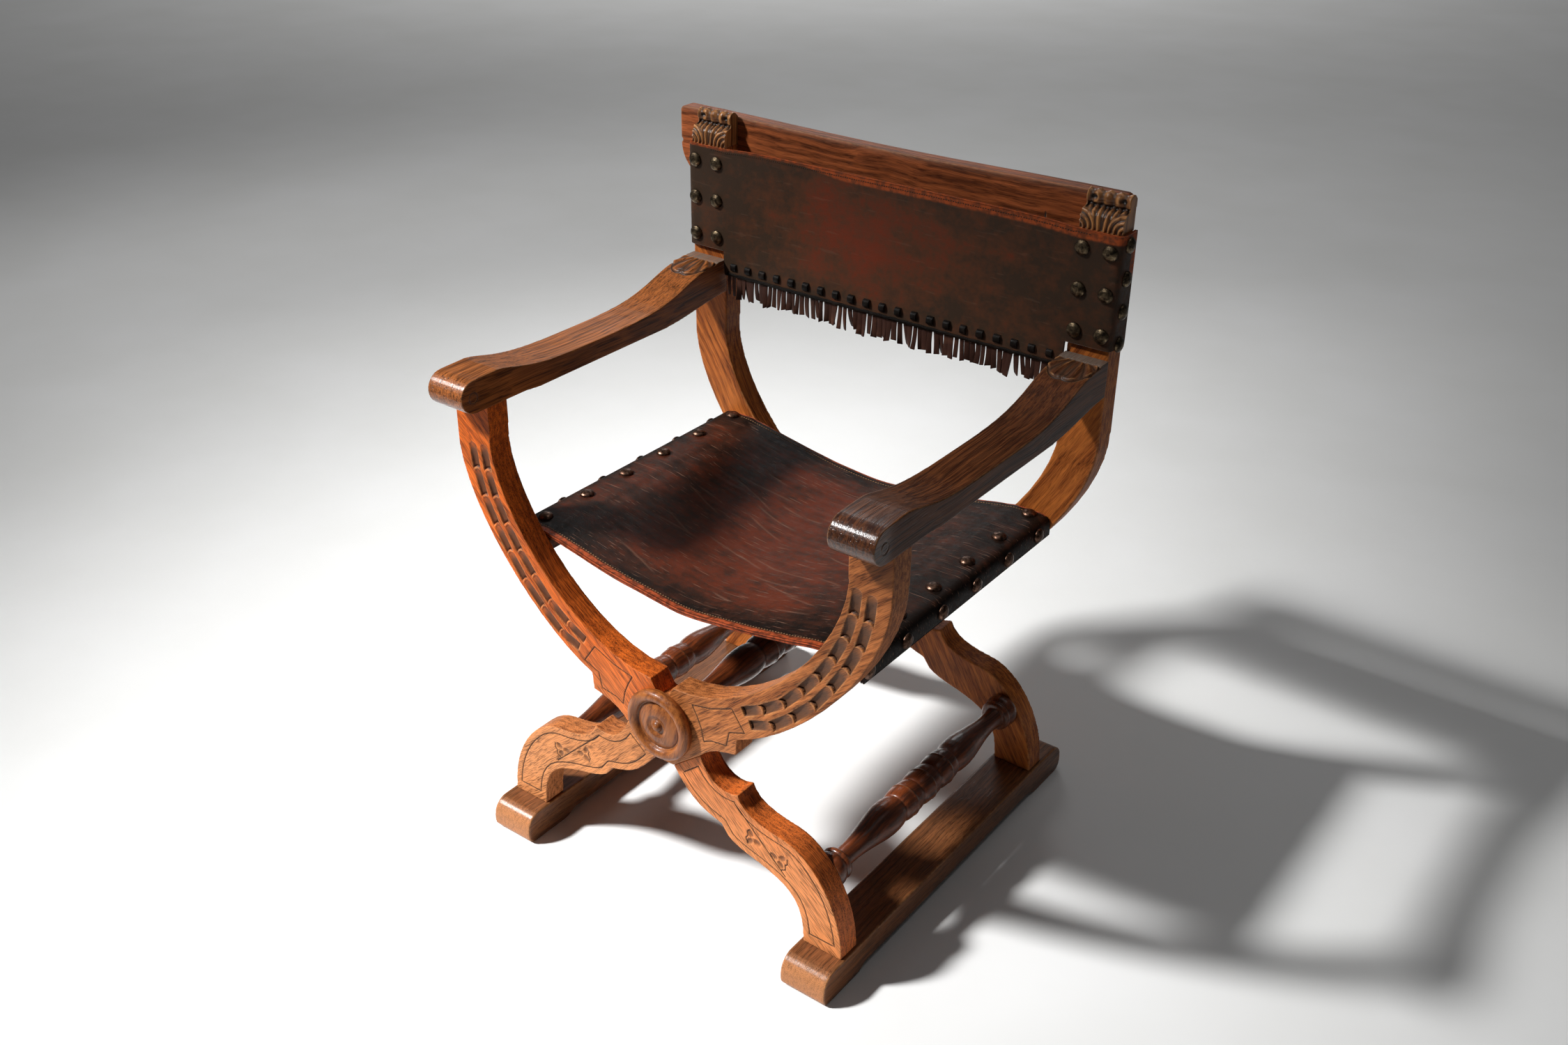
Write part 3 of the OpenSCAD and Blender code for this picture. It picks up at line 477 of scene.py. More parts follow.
# In mm: the leaf's length and half width, the relief of its ribs, midrib, curled tip and outline,
# the depth of the nose's circle, and the length over which the hands' polish fades out
leaf_long, leaf_half = 46, 29
rib_high, midrib_deep, curl_high, outline_deep = 1.9, 1.6, 2.4, 1.6
circle_deep, handled_fade = 1.1, 26
leaf_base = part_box("rear_member_a")[0].y - 21 * mm
for node in ("arm_left", "arm_right"):
    low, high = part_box(node)
    piece = dense_copy(node, arm_cell, 4)
    points, normals = points_of(piece.data), normals_of(piece.data)
    x = (points[:, 0] - (low.x + high.x) / 2) / mm
    y, z = (leaf_base - points[:, 1]) / mm, points[:, 2] / mm
    # The leaf, seen from above: it fans forward from its base at the worn block
    upper = (normals[:, 2] > 0.25) & (y > -2) & (y < leaf_long + 6)
    fan = np.arctan2(x, y + 15)
    reach = leaf_long * (1 - 0.55 * (np.abs(fan) / 1.25) ** 1.6) * (
        1 + 0.07 * np.abs(np.sin(fan * 6.5)))
    within = ease((reach - np.hypot(x, y)) / 2.0) * (np.abs(x) < leaf_half) * upper * ease(y / 2)
    ribs = 0.5 + 0.5 * np.cos(fan * 19 + 0.05 * y * np.sign(x))
    midrib = np.exp(-(x / 1.6) ** 2)
    outline = np.exp(-((np.hypot(x, y) - reach) / 1.3) ** 2) * upper * (y > 1)
    curl = np.exp(-(((y - leaf_long + 4) / 3.5) ** 2 + (x / 9) ** 2)) * upper
    rise = (within * (0.2 + rib_high * ribs ** 1.4 - midrib_deep * midrib) + curl_high * curl
            - outline_deep * outline)
    # The circle incised on each side of the nose
    nose_y, nose_z = low.y / mm + 20, low.z / mm + 24
    ring = np.abs(np.hypot(points[:, 1] / mm - nose_y, z - nose_z) - 7)
    circle = np.clip(1 - ring / 1.1, 0, 1) * (np.abs(normals[:, 0]) > 0.7)
    set_points(piece.data, points + normals * ((rise - circle_deep * circle) * mm)[:, None])
    # Painted shade in the carving: dark between the leaf's ribs, along its outline and in the
    # nose's circle
    sunk = np.maximum(within * (1 - ribs) ** 2 * 0.85, np.maximum(outline, 0.9 * circle))
    block = (y < 0.5) & (normals[:, 2] > 0.2)
    set_attribute(piece.data, "handled",
                  ease(1.6 - (points[:, 1] - low.y) / (handled_fade * mm)))
    finished(piece, node, arm_oak[node], arm_cell, np.clip(sunk, 0, 0.92), 0.95 * block)

# ---- Crest board
# A board behind the posts with an ear at each end, its top edge painted grey, as wear and as
# painted sheen, held by four steel screws from behind.
crest_oak = stained_oak("stained_oak_crest", (1, 0, 0), "#BA663A", "#743C1E",
                        strokes=0.6, gloss=0.40, shift=6.7)
crest_cell, column = 1.3 * mm, 4 * mm
post_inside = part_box("finial_right")[0].x - middle - 3 * mm
crest = dense_copy("crest_board", crest_cell)
points = points_of(crest.data)
# Between the posts it is drawn down behind the leather by 14 mm, or 5 mm next to the right post
columns = np.round((points[:, 0] - points[:, 0].min()) / column).astype(int)
bottoms = np.full(columns.max() + 1, 9.0)
np.minimum.at(bottoms, columns, points[:, 2])
run = post_inside - np.abs(points[:, 0] - middle)
lowered = 5 + 9 * np.maximum(ease((run - 13 * mm) / (12 * mm)), points[:, 0] < middle)
points[:, 2] -= lowered * mm * ease(run / (6 * mm)) * ease(
    1 - (points[:, 2] - bottoms[columns]) / (22 * mm))
set_points(crest.data, points)
# Its top edge is painted grey, as worn bare wood and as painted sheen, most of all along the
# front arris
tops = np.full(columns.max() + 1, -1.0)
np.maximum.at(tops, columns, points[:, 2])
below = (tops[columns] - points[:, 2]) / mm
fore = (points[:, 1] - points[:, 1].min()) / mm
bare = 0.3 * np.exp(-((np.hypot(below, fore) - 3) / 4.0) ** 2) + 0.12 * (below < 3)
finished(crest, "crest_board", crest_oak, crest_cell, bare=np.clip(bare, 0, 0.95))
# Turned steel screws, which show as a dark dull metal with a bloom of rust, in spots 1.1 mm wide
steel, tree = shaded("dark_steel_screws")
rust = add(tree, "TexNoise", {"Vector": add(tree, "TexCoord", out="Object"), "Scale": 900.0,
                              "Detail": 3.0})
rusted = add(tree, "ValToRGB", {0: rust}, stops=[(0.4, "#3A3733"), (0.65, "#5A5048")])
metal = add(tree, "BsdfPrincipled", {"Base Color": rusted, "Metallic": 1.0, "Roughness": 0.5})
add(tree, "OutputMaterial", {"Surface": metal})
clothe(nodes["crest_screws"].data, steel)

# ---- Finials
# A small leaf of waxed oak stands on each post, carved with ribs. Its tip curls over to the front
# in a row of knobs, and it has stayed paler than the boards.
finial_oak = stained_oak("waxed_oak_finials", (0, 0, 1), "#CC8C52", "#7C4C2A",
                         strokes=0.3, gloss=0.34, shift=1.3, wax=0.5)
finial_cell = 0.6 * mm
# In mm: how far apart the ribs and the tip's knobs are, and their relief
nested_pitch, upright_pitch, knob_pitch = 6.6, 8.0, 14.5
rib_relief, knob_relief, hollow_deep, eye_deep = 2.2, 2.4, 2.4, 4.0
for node in ("finial_left", "finial_right"):
    low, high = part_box(node)
    piece = dense_copy(node, finial_cell)
    points, normals = points_of(piece.data), normals_of(piece.data)
    x = (points[:, 0] - (low.x + high.x) / 2) / mm
    z, tall = (points[:, 2] - low.z) / mm, (high.z - low.z) / mm
    front = ease((-normals[:, 1] - 0.05) / 0.3) * (points[:, 1] < high.y - 6 * mm)
    # Upright ribs in the middle, and nested ones that lean out from each lower corner
    corner = np.hypot(np.abs(x) - 30, z - 2)
    nested = 0.5 + 0.5 * np.cos(corner * 2 * math.pi / nested_pitch)
    upright = 0.5 + 0.5 * np.cos((np.abs(x) - 4.0 - 0.10 * z) * 2 * math.pi / upright_pitch)
    side = ease((25 - corner) / 4)
    ribs = side * nested + (1 - side) * upright
    blade = ease((tall - 15 - z) / 3)
    lip = ease((z - tall + 17) / 2.5)
    knobs = 0.5 + 0.5 * np.cos(x * 2 * math.pi / knob_pitch + 0.6)
    # The hollow under the curled tip, and a drilled eye at each side of it
    under = np.exp(-((z - tall + 16.5) / 2.0) ** 2)
    eye = np.exp(-(((np.abs(x) - 19) / 4.2) ** 2 + ((z - tall + 8) / 3.6) ** 2) ** 2)
    lift = front * (blade * (rib_relief * ribs ** 1.3 - 1.2) - hollow_deep * under - eye_deep * eye)
    lift += lip * (knob_relief * knobs - 1.2) * (np.abs(normals[:, 0]) < 0.6) * (1 - eye * front)
    set_points(piece.data, points + normals * (lift * mm)[:, None])
    # Painted shade in the carving: dark between the ribs, under the curled tip, in the drilled eyes
    # and between the knobs
    sunk = np.clip(front * (blade * (1 - ribs) ** 2 * 0.9 + 0.8 * under + 0.95 * eye)
                   + lip * (1 - knobs) ** 3 * 0.7, 0, 0.95)
    finished(piece, node, finial_oak, finial_cell, sunk)


# ---- Seat
# A sling of doubled cowhide, laid over the rails and nailed down, with a short flap down each
# outer side. It is nearly black at its borders and rubbed red-brown where people sit.
def waxed_leather(name, light, medium, dark, edge, scuffs):
    """Vegetable-tanned cowhide, stained and waxed, which shows as dull clouds from dark to light
    over a fine grain, with pale scratches, red worn edges and painted shade in its grooves."""
    scratched, groove_painted_shade = "#7E5C4C", "#120A07"
    material, tree = shaded(name)
    # Clouds are 45, 17 and 6 mm wide and streaks 13 by 50 mm. Cowhide's grain is 0.4 mm wide and
    # scratches 0.3 mm, too fine for the picture, so they are drawn 1.3 and 1.6 mm wide.
    hide = add(tree, "Mapping", {"Vector": add(tree, "TexCoord", out="Object"),
                                 "Scale": (1000, 1000, 1000)})
    cloud = add(tree, "TexNoise", {"Vector": hide, "Scale": 1 / 45, "Detail": 4.0})
    blotch = add(tree, "TexNoise", {"Vector": hide, "Scale": 1 / 17, "Detail": 3.0})
    mottle = add(tree, "TexNoise", {"Vector": hide, "Scale": 1 / 6, "Detail": 4.0})
    drawn = add(tree, "Mapping", {"Vector": hide, "Rotation": (0, 0, -0.2),
                                  "Scale": (1 / 50, 1 / 13, 1 / 24)})
    streak = add(tree, "TexNoise", {"Vector": drawn, "Scale": 1.0, "Detail": 4.0,
                                    "Roughness": 0.6})
    # How light the leather is: lighter where it is rubbed, broken up by the clouds and streaks
    rubbed = add(tree, "Attribute", out="Fac", attribute_name="rubbed")
    mix = add(tree, "Math", {0: rubbed, 1: 0.60, 2: -1.30}, operation="MULTIPLY_ADD")
    for part, weight in ((mottle, 0.6), (blotch, 0.5), (streak, 0.9), (cloud, 0.7)):
        mix = add(tree, "Math", {0: part, 1: weight, 2: mix}, operation="MULTIPLY_ADD")
    tone = add(tree, "ValToRGB", {0: mix}, stops=[(0.05, dark), (0.78, light), (0.38, medium)])
    slanted = add(tree, "Mapping", {"Vector": hide, "Rotation": (0, 0, 0.3),
                                    "Scale": (1 / 50, 1 / 1.6, 1 / 5)})
    scratch = add(tree, "TexNoise", {"Vector": slanted, "Scale": 1.0, "Detail": 2.0})
    scratches = add(tree, "MapRange", {0: scratch, 1: 0.65, 2: 0.71, 3: 0.0, 4: scuffs})
    creased = add(tree, "Attribute", out="Fac", attribute_name="creased")
    mark = add(tree, "Math", {0: creased, 1: 0.45, 2: scratches}, operation="MULTIPLY_ADD")
    marked = add(tree, "Mix", {0: mark, 6: tone, 7: srgb(scratched)}, out=2, data_type="RGBA")
    frayed = add(tree, "Attribute", out="Fac", attribute_name="frayed")
    patchy = add(tree, "MapRange", {0: mottle, 1: 0.4, 2: 0.6, 3: 0.35, 4: 1.0})
    edging = add(tree, "Math", {0: frayed, 1: patchy}, operation="MULTIPLY")
    edged = add(tree, "Mix", {0: edging, 6: marked, 7: srgb(edge)}, out=2, data_type="RGBA")
    # Grooves are painted near black, as painted shade
    sunk = add(tree, "Attribute", out="Fac", attribute_name="sunk")
    colour = add(tree, "Mix", {0: sunk, 6: edged, 7: srgb(groove_painted_shade)}, out=2, data_type="RGBA")
    grain = add(tree, "TexVoronoi", {"Vector": hide, "Scale": 1 / 1.3, "Randomness": 1.0},
                out="Distance", feature="DISTANCE_TO_EDGE")
    cells = add(tree, "MapRange", {0: grain, 1: 0.0, 2: 0.3, 3: 0.0, 4: 1.0})
    relief = add(tree, "Math", {0: mottle, 1: 1.4, 2: cells}, operation="MULTIPLY_ADD")
    bump = add(tree, "Bump", {"Height": relief, "Strength": 0.35, "Distance": 0.3 * mm})
    rough = add(tree, "MapRange", {0: mottle, 1: 0.3, 2: 0.7, 3: 0.36, 4: 0.56})
    leather = add(tree, "BsdfPrincipled", {"Base Color": colour, "Roughness": rough,
                                           "Normal": bump, "IOR": 1.45,
                                           "Specular IOR Level": 0.15})
    add(tree, "OutputMaterial", {"Surface": leather})
    return material


def grid_faces(rows, columns, start=0, closed=False):
    """Quads between the points of a grid, row after row."""
    last = columns if closed else columns - 1
    return [(start + i * columns + j, start + i * columns + (j + 1) % columns,
             start + (i + 1) * columns + (j + 1) % columns, start + (i + 1) * columns + j)
            for i in range(rows - 1) for j in range(last)]


def surface_normals(grid):
    """Unit normals of a grid of points, from its rows across its columns."""
    along = np.gradient(grid, axis=0)
    across = np.gradient(grid, axis=1)
    normal = np.cross(along, across)
    return normal / np.maximum(np.linalg.norm(normal, axis=2, keepdims=True), 1e-12)


def doubled_hide(name, face, thick, material, rubbed, frayed_width):
    """Two layers of hide sewn together: face is the grid of the outer side's points, and the rim
    is rounded, with a groove where the layers meet, painted dark as shade."""
    rows, columns = face.shape[:2]
    normal = surface_normals(face)
    behind = face - normal * thick
    rim = ([(i, 0) for i in range(rows)] + [(rows - 1, j) for j in range(1, columns)]
           + [(i, columns - 1) for i in range(rows - 2, -1, -1)]
           + [(0, j) for j in range(columns - 2, 0, -1)])
    ri, rj = np.array(rim).T
    outward = face[ri, rj] - face[np.clip(ri, 1, rows - 2), np.clip(rj, 1, columns - 2)]
    outward /= np.maximum(np.linalg.norm(outward, axis=1, keepdims=True), 1e-12)
    steps = 9
    loops = []
    for k in range(1, steps):
        t = k / steps
        swell = 0.32 * math.sin(math.pi * t) ** 0.5 - 0.42 * math.exp(-((t - 0.5) / 0.09) ** 2)
        loops.append(face[ri, rj] + (behind[ri, rj] - face[ri, rj]) * t
                     + outward * thick * swell * 0.5)
    count = rows * columns
    points = np.concatenate([face.reshape(-1, 3), behind.reshape(-1, 3)] + loops)
    faces = [f[::-1] for f in grid_faces(rows, columns)] + grid_faces(rows, columns, count)
    ring = len(rim)
    ids = [ri * columns + rj] + [2 * count + k * ring + np.arange(ring) for k in range(steps - 1)]
    ids.append(count + ri * columns + rj)
    for a, b in zip(ids, ids[1:]):
        for k in range(ring):
            n = (k + 1) % ring
            faces.append((int(a[k]), int(a[n]), int(b[n]), int(b[k])))
    mesh = bpy.data.meshes.new(name)
    mesh.from_pydata(points.tolist(), [], faces)
    mesh.polygons.foreach_set("use_smooth", np.ones(len(mesh.polygons), bool))
    mesh.materials.append(material)
    steps_i = np.diff(face, axis=0, prepend=face[:1])
    steps_j = np.diff(face, axis=1, prepend=face[:, :1])
    lengths_i = np.cumsum(np.linalg.norm(steps_i, axis=2), axis=0)
    lengths_j = np.cumsum(np.linalg.norm(steps_j, axis=2), axis=1)
    border = np.minimum.reduce([lengths_i, lengths_i[-1:] - lengths_i,
                                lengths_j, lengths_j[:, -1:] - lengths_j])
    frayed = np.clip((frayed_width - border) / (2.5 * mm), 0, 1)
    loose = (steps - 1) * ring
    set_attribute(mesh, "frayed", np.concatenate([frayed.ravel(), frayed.ravel(),
                                                  np.tile(frayed[ri, rj], steps - 1)]))
    set_attribute(mesh, "rubbed", np.concatenate([rubbed.ravel(), 0 * rubbed.ravel() + 0.2,
                                                  np.full(loose, 0.5)]))
    # The groove where the layers meet is marked to be painted dark, as painted shade
    grooves = np.concatenate([np.full(ring, 0.9 * math.exp(-((k / steps - 0.5) / 0.12) ** 2))
                              for k in range(1, steps)])
    set_attribute(mesh, "sunk", np.concatenate([np.zeros(2 * count), grooves]))
    piece = linked(name, mesh)
    return piece


def run_along(path):
    """How far along the path each of its points lies."""
    return np.concatenate([[0], np.cumsum(np.linalg.norm(np.diff(path, axis=0), axis=1))])


def resampled(path, count, soften):
    """A path's points, spread evenly, with its corners softened."""
    run = run_along(path)
    dense = np.linspace(0, run[-1], count)
    out = np.stack([np.interp(dense, run, path[:, k]) for k in range(path.shape[1])], axis=1)
    for _ in range(soften):
        out[1:-1] += 0.5 * ((out[:-2] + out[2:]) / 2 - out[1:-1])
    return out


rail_low, rail_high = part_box("seat_rail_right")
leather_low, leather_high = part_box("seat_leather")
rail_in, rail_out, rail_top = rail_low.x - middle, rail_high.x - middle, rail_high.z
seat_thick, lay, flap = 6 * mm, 0.3 * mm, 22 * mm
free_x = rail_in - 14 * mm
seat_y0, seat_y1 = leather_low.y, leather_high.y


def seat_sag(v):
    """How far the sling's middle hangs below the leather on the rails."""
    return (33 - 1 * v + 9 * math.sin(math.pi * v)) * mm


def sling_height(x, v):
    return rail_top + seat_thick + lay - seat_sag(v) + (
        (seat_sag(v) - 4 * mm) * (abs(x) / free_x) ** 1.5)


def seat_section(v):
    """The seat's upper side from the left flap's edge to the right one's, at share v of depth."""
    half = [(rail_out + lay + seat_thick, rail_top - flap),
            (rail_out + lay + seat_thick, rail_top - 8 * mm),
            (rail_out + lay + seat_thick - 1.6 * mm, rail_top - 1 * mm),
            (rail_out + 1.5 * mm, rail_top + seat_thick - 2.2 * mm),
            (rail_out - 4 * mm, rail_top + seat_thick - 0.2 * mm),
            (rail_out - 9 * mm, rail_top + seat_thick + lay),
            (rail_in + 8 * mm, rail_top + seat_thick + lay),
            (rail_in - 2 * mm, rail_top + 3.7 * mm)]
    half += [(free_x * k / 12, sling_height(free_x * k / 12, v)) for k in range(12, -1, -1)]
    return np.array([(-x, z) for x, z in half] + [(x, z) for x, z in half[-2::-1]])


seat_rows, seat_columns = ((400, 260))
shares = np.linspace(0, 1, seat_columns)
face = np.zeros((seat_rows, seat_columns, 3))
for j, v in enumerate(shares):
    section = resampled(seat_section(v), seat_rows, 14)
    face[:, j, 0] = middle + section[:, 0]
    face[:, j, 2] = section[:, 1]
    face[:, j, 1] = seat_y0 + (seat_y1 - seat_y0) * v
# Rubbed in the middle and less towards the right side, the flaps and the front and rear borders
half_run = np.abs(np.linspace(-1, 1, seat_rows))[:, None]
crosswise = shares[None, :]
towards_right = np.linspace(-1, 1, seat_rows)[:, None] > 0
sideways = (0.5 - 0.3 * towards_right
            + (0.5 + 0.3 * towards_right) * (1 - ease((half_run - 0.25) / 0.5))
            - 0.5 * ease((half_run - 0.85) / 0.05))
rubbed = sideways * (
    0.1 + 0.9 * ease(crosswise / 0.16 - 0.1) * ease((1 - crosswise) / 0.12 - 0.1))
# Broad waves, and short thin wrinkles from side to side, where the leather hangs free
creases = np.zeros((seat_rows, seat_columns))
free = ease((rail_in - 12 * mm - np.abs(face[:, :, 0] - middle)) / (40 * mm))
for i in range(seat_rows):
    for j in range(seat_columns):
        p = face[i, j] / mm
        creases[i, j] = (noise.noise(Vector((p[0] / 70, p[1] / 55, 3.0)))
                         + 0.35 * noise.noise(Vector((p[0] / 40, p[1] / 9, 8.0))))
wrinkle = np.zeros((seat_rows, seat_columns))
chance = random.Random(5)
wrinkles, wrinkle_half, wave_high, wrinkle_deep = 34, 1.3 * mm, 1.6, 0.6
for _ in range(wrinkles):
    x0 = chance.uniform(-150, 150) * mm
    y0 = seat_y0 + chance.uniform(0.12, 0.9) * (seat_y1 - seat_y0)
    half_long = chance.uniform(14, 48) * mm
    turn, bend = chance.uniform(-0.35, 0.1), chance.uniform(-2, 2)
    dx = face[:, :, 0] - middle - x0
    dy = face[:, :, 1] - y0 - turn * dx - bend * dx * dx
    wrinkle += np.exp(-(dy / wrinkle_half) ** 2) * ease(2 - 2 * np.abs(dx) / half_long)
wrinkle = np.clip(wrinkle, 0, 1)
face[:, :, 2] += (creases * wave_high - wrinkle_deep * wrinkle) * free * mm
seat_hide = waxed_leather("waxed_cowhide_seat", "#602A18", "#3A2016", "#19110D", "#B4532E",
                          scuffs=0.9)
# The front edge is worn red over 9 mm, and the rear one over 3 mm
front_edge = np.where(crosswise < 0.5, 9 * mm, 3 * mm)
seat = doubled_hide("seat_hide", face, seat_thick, seat_hide, rubbed,
                    front_edge * (half_run < 0.90))
set_attribute(seat.data, "creased", np.concatenate([
    (wrinkle * free).ravel(), np.zeros(len(seat.data.vertices) - wrinkle.size)]))
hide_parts("seat_leather")


def closed_strips(name, parts, material, bevel=0.0):
    """One piece from several closed strips, each a list of four-cornered rows."""
    points, faces = [], []
    for rows in parts:
        base = len(points)
        points += rows
        count = len(rows) // 4
        faces += grid_faces(count, 4, base, closed=True)
        faces += [(base + 3, base + 2, base + 1, base),
                  tuple(base + 4 * (count - 1) + k for k in range(4))]
    mesh = bpy.data.meshes.new(name)
    mesh.from_pydata([tuple(p) for p in points], [], faces)
    mesh.materials.append(material)
    piece = linked(name, mesh)
    if bevel:
        edge = piece.modifiers.new("edge", "BEVEL")
        edge.width, edge.segments, edge.limit_method = bevel, 2, "ANGLE"
        piece.data = evaluated(piece)
        piece.modifiers.clear()
    piece.data.polygons.foreach_set("use_smooth", np.ones(len(piece.data.polygons), bool))
    return piece


thread_half, stitch_share = 0.55 * mm, 0.34


def stitched(name, path, normals, pitch, material):
    """A row of saddle stitches along a path on the leather."""
    run = run_along(path)
    stitches = []
    for start in np.arange(pitch, run[-1] - pitch, pitch):
        ends = [Vector([np.interp(start + d, run, path[:, k]) for k in range(3)])
                for d in (-stitch_share * pitch, 0, stitch_share * pitch)]
        up = Vector([np.interp(start, run, normals[:, k]) for k in range(3)])
        side = (ends[2] - ends[0]).cross(up).normalized() * thread_half
        rows = []
        for p, lift in zip(ends, (-0.4, 0.35, -0.4)):
            p = p + up * lift * mm
            rows += [p - side - up * 0.4 * mm, p + side - up * 0.4 * mm,
                     p + side + up * 0.4 * mm, p - side + up * 0.4 * mm]
        stitches.append(rows)
    return closed_strips(name, stitches, material)


thread = waxed_leather("waxed_linen_thread", "#AA8660", "#A07C58", "#8E6C4C", "#AA8660",
                       scuffs=0.0)
seat_normals = surface_normals(face)
# The seams run 10 mm in from the front and rear edges, and stop short of the nails
line = int(seat_columns * 10 * mm / (seat_y1 - seat_y0)) + 1
inner = slice(int(seat_rows * 0.09), int(seat_rows * 0.91))
front_seam = stitched("seat_front_stitches", face[inner, line], seat_normals[inner, line],
                      4.2 * mm, thread)
rear_seam = stitched("seat_rear_stitches", face[inner, -line], seat_normals[inner, -line],
                     4.2 * mm, thread)

# ---- Back
# A second sling of doubled hide, turned round the fronts of the posts and nailed, with a wider
# band between them. A laced thong and a cut fringe run along its lower seam.
post_low, post_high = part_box("rear_member_b")
back_thick, wing_thick = 5.7 * mm, 4 * mm
post_wide, wing_high, band_drop = 58 * mm, 146 * mm, 35 * mm
post_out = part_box("back_leather")[1].x - middle - 4.3 * mm
post_in = post_out - post_wide
post_face, post_back, post_top = post_low.y, post_high.y, post_high.z


def back_section(v):
    """The back's outer side in plan, from the left wing's edge to the right one's."""
    half = [(post_out + lay + wing_thick, post_back - 2 * mm),
            (post_out + lay + wing_thick, post_face + 2 * mm),
            (post_out + wing_thick - 1 * mm, post_face - 3.5 * mm),
            (post_out - 3 * mm, post_face - lay - back_thick),
            (post_in - 1 * mm, post_face - lay - back_thick)]
    for k in range(12, -1, -1):
        x = (post_in - 5 * mm) * k / 12
        bow = 7 * mm * math.sin(math.pi * v) * (1 - (x / post_in) ** 2)
        half.append((x, post_face - lay - back_thick + bow))
    return np.array([(-x, y) for x, y in half] + [(x, y) for x, y in half[-2::-1]])


back_rows, back_columns = ((460, 150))
shares = np.linspace(0, 1, back_columns)
face = np.zeros((back_rows, back_columns, 3))
for j, v in enumerate(shares):
    section = resampled(back_section(v), back_rows, 8)
    x = section[:, 0]
    face[:, j, 0] = middle + x
    face[:, j, 1] = section[:, 1]
    drop = band_drop * (np.abs(x) < post_in - 2.2 * mm)
    low = post_top - wing_high - drop
    high = post_top + 4 * mm * (1 - np.clip(np.abs(x) / (post_in - 3 * mm), 0, 1) ** 8)
    face[:, j, 2] = low + (high - low) * v
# Lighter and redder in three places: mm from the middle, mm wide, and how much
rubbed = np.full(face.shape[:2], 0.12)
for spot_x, wide, strength in ((-110, 62, 0.6), (-5, 76, 0.95), (125, 60, 0.3)):
    away = np.hypot((face[:, :, 0] - middle - spot_x * mm) / (wide * mm),
                    np.linspace(-1, 1, back_columns)[None, :] / 0.9 - 0.1)
    rubbed += strength * np.exp(-away ** 2)
back_hide = waxed_leather("waxed_cowhide_back", "#70321F", "#553524", "#3E2F24", "#AE5229",
                          scuffs=0.15)
# The upper edge is worn red, over 3 mm at the left and 12 mm from the middle to the right
upper_edge = np.where(np.linspace(0, 1, back_columns)[None, :] > 0.6,
                      (3 + 9 * ease((face[:, :, 0] - middle + 150 * mm) / (90 * mm))) * mm, 0.0)
hide_back = doubled_hide("back_hide", face, wing_thick, back_hide, rubbed, upper_edge)
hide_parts("back_leather")
back_normals = surface_normals(face)
line = int(back_columns * 5.5 / 180) + 1
inner = slice(int(back_rows * 0.10), int(back_rows * 0.90))
top_seam = stitched("back_top_stitches", face[inner, -line], back_normals[inner, -line],
                    3.6 * mm, back_hide)
# Laced tabs: a flat thong drawn through slots, so that square loops show
lace_half = post_in - 7 * mm
lace_low, lace_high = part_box("back_lacing")


def strip(centre, side, front, w, t):
    """Rows of four corners along centre's points; w and t are half the width and thickness."""
    rows = []
    for p in centre:
        rows += [p - side * w - front * t, p + side * w - front * t,
                 p + side * w + front * t, p - side * w + front * t]
    return rows


thong = waxed_leather("thong_leather", "#4A3A2E", "#2A201A", "#120E0B", "#55372A", scuffs=0.0)
X, Y, Z = Vector((1, 0, 0)), Vector((0, 1, 0)), Vector((0, 0, 1))
chance = random.Random(11)
tabs = []
tab_count, tab_bulge, tab_tall = 21, 4.4 * mm, 12.0 * mm
tab_pitch = 2 * lace_half / tab_count
lace_z, lace_y = (lace_low.z + lace_high.z) / 2, lace_low.y + 1.2 * mm
for i in range(tab_count):
    x0 = middle - lace_half + tab_pitch * (i + 0.5)
    wide = tab_pitch * chance.uniform(0.17, 0.20)
    centre = [Vector((x0, lace_y - tab_bulge * math.sin(math.pi * k / 8) ** 0.4 + 3.2 * mm,
                      lace_z + (k / 8 - 0.5) * tab_tall)) for k in range(9)]
    tabs.append(strip(centre, X, Y, wide, 0.7 * mm))
# A cord runs below the tabs, 11 mm under their middle
cord = [Vector((middle - lace_half + 2 * lace_half * k / 120,
                lace_y + 0.7 * mm, lace_z - 11.0 * mm + 0.3 * mm * math.sin(k * 1.3)))
        for k in range(121)]
tabs.append(strip(cord, Z, Y, 1.7 * mm, 1.5 * mm))
lacing = closed_strips("laced_tabs", tabs, thong, bevel=0.5 * mm)
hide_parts("back_lacing")

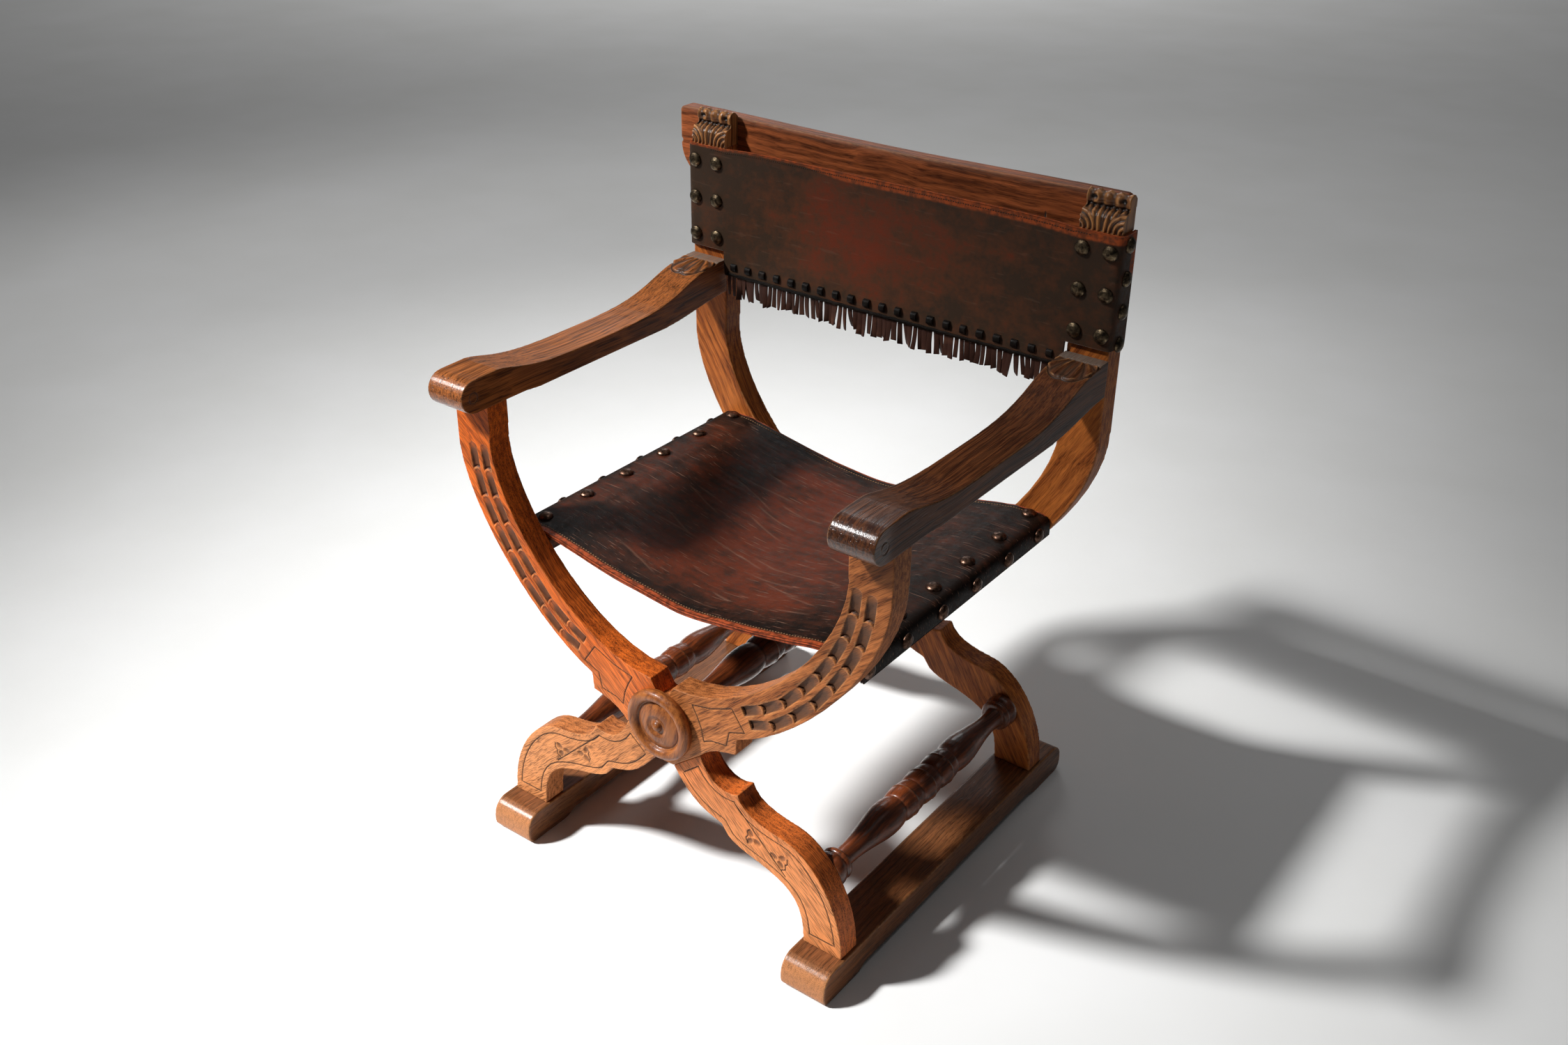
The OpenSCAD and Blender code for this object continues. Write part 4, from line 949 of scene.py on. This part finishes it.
# Fringe: one band of hide, cut into narrow strips that have curled with age
fringe_low, fringe_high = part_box("back_fringe")
fringe_hide = waxed_leather("fringe_leather", "#6C4636", "#553629", "#412921", "#5E3A28",
                            scuffs=0.0)
strips = []
fringe_count, fringe_half_thick = 66, 0.8
fringe_y = (fringe_low.y + fringe_high.y) / 2
fringe_pitch = (fringe_high.x - fringe_low.x) / fringe_count
for i in range(fringe_count):
    x0 = fringe_low.x + fringe_pitch * (i + 0.5)
    drift = noise.noise(Vector((i * 0.31, 4.0, 0))) * 7 * mm
    sway = drift + chance.uniform(-1.6, 1.6) * mm
    bend_out = (noise.noise(Vector((i * 0.4, 9.0, 0))) * 9 + chance.uniform(-2.5, 2.5)) * mm
    twist, curve = chance.uniform(-0.8, 0.8), chance.uniform(-1.3, 1.3) * mm
    long = (fringe_high.z - fringe_low.z + 5 * mm) * chance.uniform(0.86, 1.0)
    wide = fringe_pitch * chance.choice((0.40, 0.48, 0.53, 0.55))
    slant = chance.uniform(-1.2, 1.2) * mm
    rows = []
    for k in range(12):
        t = k / 11
        p = Vector((x0 + sway * t ** 1.6 + curve * math.sin(math.pi * t),
                    fringe_y + bend_out * t * t, fringe_high.z - long * t))
        angle = twist * t * t
        side = X * math.cos(angle) + Y * math.sin(angle)
        front = Y * math.cos(angle) - X * math.sin(angle)
        tilt = Z * slant * (1 if k == 11 else 0)
        w = wide * (1 - 0.10 * math.sin(math.pi * t))
        deep = front * fringe_half_thick * mm
        rows += [p - side * w - deep - tilt, p + side * w - deep + tilt,
                 p + side * w + deep + tilt, p - side * w + deep - tilt]
    strips.append(rows)
fringe = closed_strips("cut_fringe", strips, fringe_hide, bevel=0.3 * mm)
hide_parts("back_fringe")

# ---- Nails
# Domed nails of brass, driven through the hide into the rails and the posts. They are
# olive-brown with age on the back, and rubbed to a redder bronze on the seat.
def aged_brass(name, dark, medium, light):
    """Tarnished brass, which shows as a dull brown metal with brighter spots, 4.5 mm wide, and
    hammered dents, 1.7 mm wide."""
    material, tree = shaded(name)
    place = add(tree, "TexCoord", out="Object")
    tarnish = add(tree, "TexNoise", {"Vector": place, "Scale": 220.0, "Detail": 4.0})
    colour = add(tree, "ValToRGB", {0: tarnish},
                 stops=[(0.35, dark), (0.70, light), (0.52, medium)])
    rough = add(tree, "MapRange", {0: tarnish, 1: 0.3, 2: 0.7, 3: 0.48, 4: 0.34})
    dents = add(tree, "TexNoise", {"Vector": place, "Scale": 600.0, "Detail": 2.0})
    bump = add(tree, "Bump", {"Height": dents, "Strength": 0.4, "Distance": 0.2 * mm})
    brass = add(tree, "BsdfPrincipled", {"Base Color": colour, "Metallic": 1.0,
                                         "Roughness": rough, "Normal": bump})
    add(tree, "OutputMaterial", {"Surface": brass})
    return material


nail_brass = {"seat": aged_brass("aged_brass_seat_nails", "#34241C", "#634A3C", "#86685A"),
              "back": aged_brass("aged_brass_back_nails", "#2F2820", "#605240", "#907E62")}
for node in ("seat_nails_left", "seat_nails_right", "back_nails_left", "back_nails_right"):
    clothe(nodes[node].data, nail_brass[node[:4]])

# ---- Floor and light
# A plain floor of pale paper that runs on as the background. Three lamps at one place, at the
# front left and above, light the chair, the floor round it and the floor behind. Two weak broad
# lamps overhead and a weak even light lift the shade.
floor_mesh = bpy.data.meshes.new("floor")
floor_mesh.from_pydata([(-12, -8, 0), (12, -8, 0), (12, 16, 0), (-12, 16, 0)], [], [(0, 1, 2, 3)])
floor = bpy.data.objects.new("floor", floor_mesh)
scene.collection.objects.link(floor)
# Matt paper, which shows as almost white with faint scuffs, a third of a metre wide
pale, tree = shaded("pale_studio_floor")
scuffs = add(tree, "TexNoise", {"Vector": add(tree, "TexCoord", out="Object"), "Scale": 3.0,
                                "Detail": 5.0})
tint = add(tree, "ValToRGB", {0: scuffs}, stops=[(0.3, "#F0F0EE"), (0.7, "#F5F5F4")])
paper = add(tree, "BsdfPrincipled", {"Base Color": tint, "Roughness": 0.9,
                                     "Specular IOR Level": 0.1})
add(tree, "OutputMaterial", {"Surface": paper})
floor_mesh.materials.append(pale)


def lamp(name, kind, at, aim, power, **settings):
    """A studio lamp at one point, aimed at another."""
    light = bpy.data.lights.new(name, kind)
    light.energy = power
    for key, value in settings.items():
        setattr(light, key, value)
    made = bpy.data.objects.new(name, light)
    made.location = at
    made.rotation_euler = (Vector(aim) - Vector(at)).to_track_quat("-Z", "Y").to_euler()
    scene.collection.objects.link(made)


window = (-6.52, -5.87, 8.18)
for name, aim, power, cone in (("key", (-0.1, -0.40, 0), 10500, 12.2),
                               ("wide", (-1.43, 1.28, 0), 2260, 21.5),
                               ("behind", (-0.73, 0.89, 0), 7100, 8.7)):
    lamp(name, "SPOT", window, aim, power, shadow_soft_size=0.7,
         spot_size=math.radians(cone), spot_blend=1.0)
lamp("ceiling", "AREA", (0.2, 1.0, 4.4), (0.2, 1.0, 0), 20, size=3.0)
lamp("backdrop", "AREA", (-5.0, 6.9, 4.2), (-5.0, 6.9, 0), 150, size=3.0)
world = bpy.data.worlds.new("studio")
scene.world = world
world.use_nodes = True
world.node_tree.nodes["Background"].inputs[0].default_value = srgb("#F4F6FA")
world.node_tree.nodes["Background"].inputs[1].default_value = 0.046
scene.view_settings.view_transform = "Standard"
